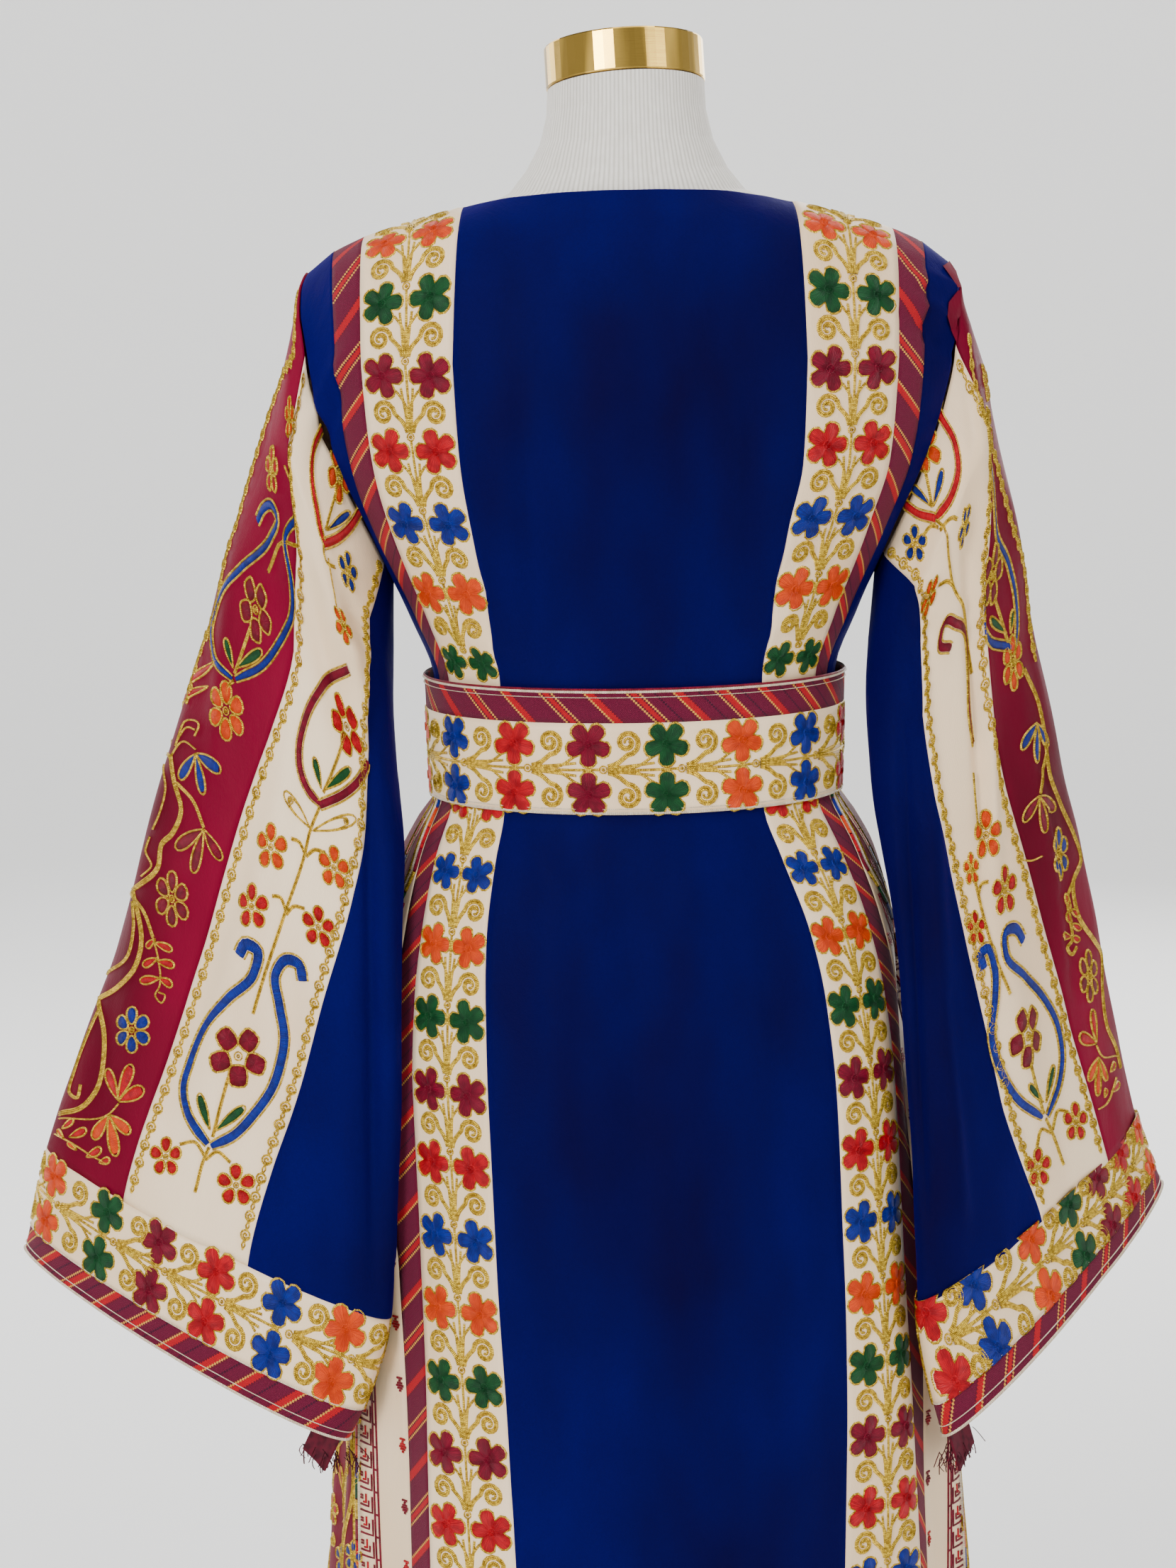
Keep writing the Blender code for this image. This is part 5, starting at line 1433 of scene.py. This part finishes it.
def chain(sewn, line, pitch=None):
    # rings joined by short doubled links
    pitch = pitch or chainCut["pitch"]
    length = float(np.linalg.norm(np.diff(line, axis=0), axis=1).sum())
    count = max(2, round(length / pitch))
    spots = smoothLine(line, count * 4 + 1)
    for i in range(count):
        at = spots[i * 4]
        curl = arc(at, (chainCut["ring"] * 0.7, 0.0006), 20, 380, 8)
        sewn.run(np.concatenate([arc(at, chainCut["ring"], 0, 360, 11), curl]), half=0.0008)
        start, end = spots[i * 4 + 1], spots[min(i * 4 + 3, len(spots) - 1)]
        side = sideways(np.array([start, end]))[0]
        for way in (-1, 1):
            sewn.run(np.array([start, (start + end) / 2 + side * 0.0012 * way, end]), half=0.0007)


def sewSleeve(node):
    sewn = Embroidery(node)
    patch = sewn.patch
    motifs = sleeveMotifs.get(node, {})

    def up(x, y):
        low, high = seen(patch, [(x, y + 6), (x, y - 6)])
        return math.atan2(high[1] - low[1], high[0] - low[0])

    for x, y, radius, petals, squash, thread in motifs.get("flowers", ()):
        openFlower(sewn, seen(patch, (x, y))[0], radius, petals, squash ** 0.5, thread, up(x, y))
    for x, y, radius, squash, thread in motifs.get("squares", ()):
        openFlower(sewn, seen(patch, (x, y))[0], radius, 5, squash ** 0.5, thread, up(x, y), True)
    for thread, half, points in motifs.get("bands", ()):
        line = smoothLine(seen(patch, points), 6 * len(points))
        count = len(line)
        taper = np.clip(np.linspace(0.9, 4.5, count), 0, 1) * np.clip(np.linspace(8, 0.6, count), 0, 1)
        if thread == "blue":
            taper *= 1 + 0.45 * np.clip(1 - np.linspace(0, 6, count), 0, 1)
        sewn.satin(line, thread, half, taper)
    for x, y, tipX, tipY, wide, thread in motifs.get("leaves", ()):
        base, tip = seen(patch, [(x, y), (tipX, tipY)])
        leaf(sewn, base, tip, wide, thread)
    for count, points in motifs.get("cords", ()):
        sewn.strands(smoothLine(seen(patch, points), 5 * len(points)), count, half=0.0007)
    for x, y, radius in motifs.get("rings", ()):
        sewn.ring(seen(patch, (x, y))[0], radius)
    for points in motifs.get("chains", ()):
        chain(sewn, seen(patch, points))
    rows = np.arange(2, len(patch.along) - 1)
    if "cream" in node:
        for column, way in ((0, 1), (-1, -1)):
            edge = np.stack([patch.across[rows, column] + way * chainCut["inset"], patch.along[rows]], axis=1)
            chain(sewn, edge)
    if not motifs:
        growVine(sewn)
    return sewn.finished()


def growVine(sewn):
    # the hidden side carries the same kinds of flower and leaf on one winding stem
    patch = sewn.patch
    length = float(patch.along[-1])
    count = max(3, int(length / 0.062))
    colours = ("orange", "red", "blue", "wine")
    stem = []
    for i in range(count):
        v = length * (i + 0.6) / count
        row = int(np.argmin(abs(patch.along - v)))
        left, right = patch.across[row, 0] + 0.012, patch.across[row, -1] - 0.012
        middle, half = (left + right) / 2, max(0.004, (right - left) / 2)
        sway = half * 0.25 * (-1) ** i
        stem.append((middle + sway * 0.5, v))
        if half > 0.012:
            reach = min(0.0145, half * 0.6)
            openFlower(sewn, (middle - sway * 1.8, v), reach, 5, 1.0, colours[i % 4], math.pi / 2)
            leaf(sewn, (middle + sway * 0.5, v + 0.008), (middle + sway * 2.2, v - 0.014), 0.0075, "green")
    sewn.strands(smoothLine(stem, 6 * count), 2, half=0.0006)


cuffSpots = {   # the flower pairs of the sleeve hems, from the outer edge inwards
    "l": ((74, 1671), (154, 1699), (231, 1729), (313, 1764), (406, 1809), (492, 1857)),
    "r": ((1579, 1623), (1549, 1667), (1513, 1718), (1465, 1782), (1388, 1852), (1326, 1902)),
}
cuffColours = {"l": ("orange", "green", "wine", "red", "blue", "orange", "green", "wine", "red", "blue"),
               "r": ("red", "wine", "green", "orange", "blue", "red", "wine", "green", "orange", "blue")}


def sewCuff(side, tag):
    sewn = Embroidery("cuff_cream_" + tag)
    patch = sewn.patch
    spots = seen(patch, cuffSpots[tag])
    depth = float(patch.along[-1])
    around = float(patch.across[len(patch.along) // 2, -1] - patch.across[len(patch.along) // 2, 0])
    places = list(spots[:, 0])
    pitch = float(np.median(np.diff(places)))
    left = around - abs(places[-1] - places[0])
    extra = max(1, round(left / abs(pitch)) - 1)
    places += [places[-1] + left * (i + 1) / (extra + 1) * np.sign(pitch) for i in range(extra)]
    low = patch.across[:, 0].min()
    for i, u in enumerate(places):
        u = (u - low) % around + low
        gap = abs(places[1] - places[0]) if i == 0 else abs(places[i] - places[i - 1])
        bandUnit(sewn, (u, depth * 0.5), 0 if side < 0 else 180, 0.95, cuffColours[tag][i % 10],
                 min(0.053, max(0.040, gap)))
    sewn.finished()


for side, tag in sides:
    for node in ("sleeve_top_", "sleeve_cream_back_", "sleeve_cream_front_"):
        sewSleeve(node + tag)
    sewCuff(side, tag)
print("sleeves embroidered")


# Skirt strips, edgings and loose ends

keyUnit = {   # millimetres from the outer edge and up the strip
    "pitch": 15.2, "half": 0.00075, "high": 0.0007,
    "wine": (
        ((1.2, 1.4), (12.6, 1.4), (12.6, 12.4)), ((1.2, 5.2), (9.4, 5.2), (9.4, 9.2)),
        ((1.4, 9.4), (4.4, 9.4)), ((1.4, 11.2), (4.4, 11.2)), ((14.6, 0.8), (17.8, 0.8)),
    ),
    "red": (((4.2, 7.2), (7.0, 7.2), (7.0, 13.2)),),
    "rails": (14.6, 17.8), "least": 0.0215,
}
sprigUnit = {   # the rows' widths in millimetres, the rest in metres
    "pitch": 0.041, "rows": (2.0, 4.6, 6.4, 4.6, 2.0, 5.0), "step": 0.0017, "inset": 0.0050, "least": 0.0300,
}
edging = {"wide": 0.0022, "block": 0.0135, "inset": 0.0034, "piping": 0.0008,
          "threads": ("orange", "blue", "green", "goldCord", "wine", "red")}


lap = {   # the side panel's edge that laps over the strip at the waist
    "fromZ": 0.950, "slope": 0.060, "rows": 34, "columns": 6, "high": 0.0007, "block": 0.0018,
    "piping": 0.0048, "cord": 0.0072,
}


def cover(sewn, u, v, finish, high):
    # a thin lap of cloth over the panel, facing outwards
    ends = ([0, 0, -1, 0], [0, -1, 0, 0])
    base, across, along, out = sewn.patch.at(u[ends], v[ends], [0, 0, 0, 0.01])
    if np.dot(np.cross(across - base, along - base), out - base) < 0:
        u, v = u[:, ::-1], v[:, ::-1]
    sewn.lay(u, v, np.full(u.shape, high), u, v, finish)


def lapSide(sewn, edgeAt, out):
    # the side panel's edge that laps over the strip at the waist
    v = np.linspace(sewn.patch.alongAtZ(lap["fromZ"]), sewn.patch.along[-1] - 0.0008, lap["rows"])
    start, width = np.array([edgeAt(at) for at in v]).T
    inner = start - out * width * np.clip((v - v[0]) / lap["slope"], 0, 1)
    u = start[:, None] + (inner - start)[:, None] * np.linspace(0, 1, lap["columns"])
    cover(sewn, u, v[:, None] + 0 * u, "burgundy", lap["high"])
    blocks = int((v[-1] - v[0]) / edging["block"])
    for i in range(blocks):
        at = np.linspace(i, i + 0.94, 5) * (v[-1] - v[0]) / blocks + v[0]
        line = np.stack([np.interp(at, v, inner) + out * lap["block"], at], axis=1)
        sewn.run(line, edging["threads"][i % 6], edging["wide"] * 0.8, 0.0011, satinProfile, lift=lap["high"])
    for away, thread, half in ((lap["piping"], "sand", 0.0007), (lap["cord"], "goldCord", 0.0009)):
        room = np.abs(start - inner) > away + half
        if room.sum() > 3:
            sewn.run(np.stack([inner + out * away, v], axis=1)[room], thread, half, 0.0012, lift=lap["high"])


def sewKeyStrip(node, out):
    sewn = Embroidery(node)
    patch, pitch = sewn.patch, keyUnit["pitch"] / 1000
    edge = patch.across[:, 0 if out < 0 else -1]
    flatShape = ((-1.0, -0.2), (-0.7, 1.0), (0.7, 1.0), (1.0, -0.2))

    def edgeAt(v):
        return float(np.interp(v, patch.along, edge)), float(np.interp(v, patch.along, patch.width))

    count = int((patch.along[-1] - 0.012) / pitch)
    for i in range(count):
        low = 0.008 + i * pitch
        start, width = edgeAt(low)
        if width < keyUnit["least"]:
            continue
        for thread in ("wine", "red"):
            for points in keyUnit[thread]:
                corners = np.array(points) / 1000
                line = np.stack([start - out * corners[:, 0], low + corners[:, 1]], axis=1)
                stretches = [np.linspace(a, b, 3)[:-1] for a, b in zip(line, line[1:])]
                line = np.concatenate(stretches + [line[-1:]])
                sewn.run(line, thread, keyUnit["half"], keyUnit["high"], flatShape)
    rows = [v for v in np.arange(0.006, patch.along[-1] - 0.01, 0.012) if edgeAt(v)[1] >= keyUnit["least"]]
    for rail in keyUnit["rails"] if len(rows) > 2 else ():
        line = np.array([(edgeAt(v)[0] - out * rail / 1000, v) for v in rows])
        sewn.run(line, "wine", keyUnit["half"], keyUnit["high"], flatShape)
    for i in range(int(patch.along[-1] / sprigUnit["pitch"])):
        low = 0.014 + i * sprigUnit["pitch"]
        start, width = edgeAt(low)
        if width < sprigUnit["least"]:
            continue
        middle = start - out * (width - sprigUnit["inset"])
        for j, wide in enumerate(sprigUnit["rows"]):
            v = low + j * sprigUnit["step"]
            u = np.linspace(-wide / 2000, wide / 2000, 3) + middle
            sewn.run(np.stack([u, v + 0 * u], axis=1), ("red", "wine")[i % 2], 0.0008, 0.0007, flatShape)
    lapSide(sewn, edgeAt, out)
    sewn.finished()


def sewSidePanel(node):
    sewn = Embroidery(node)
    patch = sewn.patch
    length = float(patch.along[-1])
    for column, way in ((0, 1), (-1, -1)):
        line = np.stack([patch.across[:, column] + way * edging["inset"], patch.along], axis=1)
        blocks = int(length / edging["block"])
        for i in range(blocks):
            v = np.linspace(i, i + 0.94, 4) * length / blocks
            u = np.interp(v, patch.along, line[:, 0])
            thread = edging["threads"][i * 5 % 6]
            sewn.run(np.stack([u, v], axis=1), thread, edging["wide"], 0.0011, satinProfile)
        rows = np.arange(0, len(patch.along), 2)
        pipe = np.stack([patch.across[rows, column] + way * 0.0006, patch.along[rows]], axis=1)
        sewn.run(pipe, "sand", edging["piping"], 0.0014)
        u = patch.across[rows, column] + way * 2.05 * edging["inset"]
        sewn.run(np.stack([u, patch.along[rows]], axis=1))
    step = 0.058
    colours = ("blue", "orange", "red", "wine")
    for lane, share in enumerate((-0.34, 0.0, 0.34)):
        stem = []
        for i in range(int((length - 0.10) / step)):
            v = 0.03 + step * (i + 0.5 * (lane % 2))
            width = float(np.interp(v, patch.along, patch.width))
            if width < 0.075:
                continue
            middle = share * width
            sway = 0.010 * (-1) ** i
            stem.append((middle + sway, v))
            reach = min(0.0145, width * 0.09)
            openFlower(sewn, (middle - sway, v + 0.010), reach, 5, 1.0, colours[(i + lane) % 4], math.pi / 2)
            leaf(sewn, (middle + sway, v), (middle + 2.3 * sway, v + 0.018), 0.0072, ("red", "green")[i % 2])
            curl = arc((middle - 1.3 * sway, v - 0.012), (0.0052, 0.0010), 90, 90 + 540 * (-1) ** i, 16)
            sewn.run(np.concatenate([[(middle + sway, v - 0.020)], curl]))
        if len(stem) > 3:
            sewn.strands(smoothLine(stem, 6 * len(stem)), 3, half=0.0006)
    sewn.finished()


def hemSleeve(tag):
    # the pale edge of the lining and a row of top stitches along the sleeve hem
    sewn = Embroidery("cuff_stripe_" + tag)
    patch = sewn.patch
    last = float(patch.along[-1])
    for v, half, high in ((last + 0.0003, 0.0011, 0.0014), (last - 0.0042, 0.00028, 0.0008),
                          (0.0004, 0.0005, 0.0006)):
        u = np.linspace(patch.across[0, 0], patch.across[0, -1], 193)
        sewn.run(np.stack([u, v + 0 * u], axis=1), "sand", half, high)
    sewn.finished()


shoulderLaps = (   # both ends of each row, as places on the photograph
    ((1329, 376, 1345, 366), (1340, 391, 1350, 385), (1350, 406, 1354, 405)),
    ((1350, 410, 1354, 410), (1337, 427, 1355, 427), (1335, 446, 1355, 446), (1341, 466, 1354, 466),
     (1349, 484, 1352, 484)),
)


def lapShoulder():
    # the sleeve head's edge, between the two velvet points at the right armhole
    sewn = Embroidery("bodice_side_r")
    for rows in shoulderLaps:
        rows = np.array(rows, float)
        share = np.linspace(0, 1, 5)[None, :, None]
        spots = rows[:, None, :2] + (rows[:, None, 2:] - rows[:, None, :2]) * share
        u, v = seen(sewn.patch, spots.reshape(-1, 2)).T.reshape(2, len(rows), 5)
        cover(sewn, u, v, "burgundy", 0.0009)
    sewn.finished()


frayed = {"strands": 46, "thick": 0.00035, "reach": 0.012, "segments": 5}


def frayTail(tag):
    # loose warp ends along the raw edge of the seam allowance
    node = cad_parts["seam_tail_" + tag]
    for slot in node.material_slots:
        slot.material = finishes["fray"]
    if not node.material_slots:
        node.data.materials.append(finishes["fray"])
    points = np.array([node.matrix_world @ v.co for v in node.data.vertices])
    low, high = points.min(axis=0), points.max(axis=0)
    work = bmesh.new()
    layer = work.verts.layers.float_vector.new("stitch")
    for i in range(frayed["strands"]):
        a = noise.noise((i * 0.37, 1.7, len(tag)))
        b = noise.noise((i * 0.61, 4.1, 2.0))
        base = points[(i * 37) % len(points)]
        base = np.array([base[0], base[1], low[2] + (high[2] - low[2]) * (0.15 + 0.3 * abs(a))])
        t = np.linspace(0, 1, frayed["segments"])[:, None]
        bend = np.array([a, b * 0.8, -0.9 + 0.5 * abs(b)]) * frayed["reach"]
        line = base + bend * t + np.array([b, a, 0.0]) * 0.005 * np.sin(3 * t)
        corners = np.array(((-1, 0, 0), (0, -1, 0), (1, 0, 0), (0, 1, 0), (-1, 0, 0))) * frayed["thick"]
        grid = np.stack([line + corner for corner in corners], axis=1)
        values = np.zeros_like(grid)
        values[..., 0] = t * 0.02
        gridInto(work, layer, grid, values)
    made = asPiece(work, "seam_tail_" + tag + "_fray", "seam_tail_" + tag, [finishes["fray"]])
    return made


for side, tag in sides:
    for face in ("back", "front"):
        turned = (side < 0) == (face == "back")
        sewKeyStrip(f"key_panel_{face}_{tag}", -1 if turned else 1)
    sewSidePanel("side_panel_" + tag)
    hemSleeve(tag)
    frayTail(tag)
lapShoulder()
print("strips and edgings sewn")
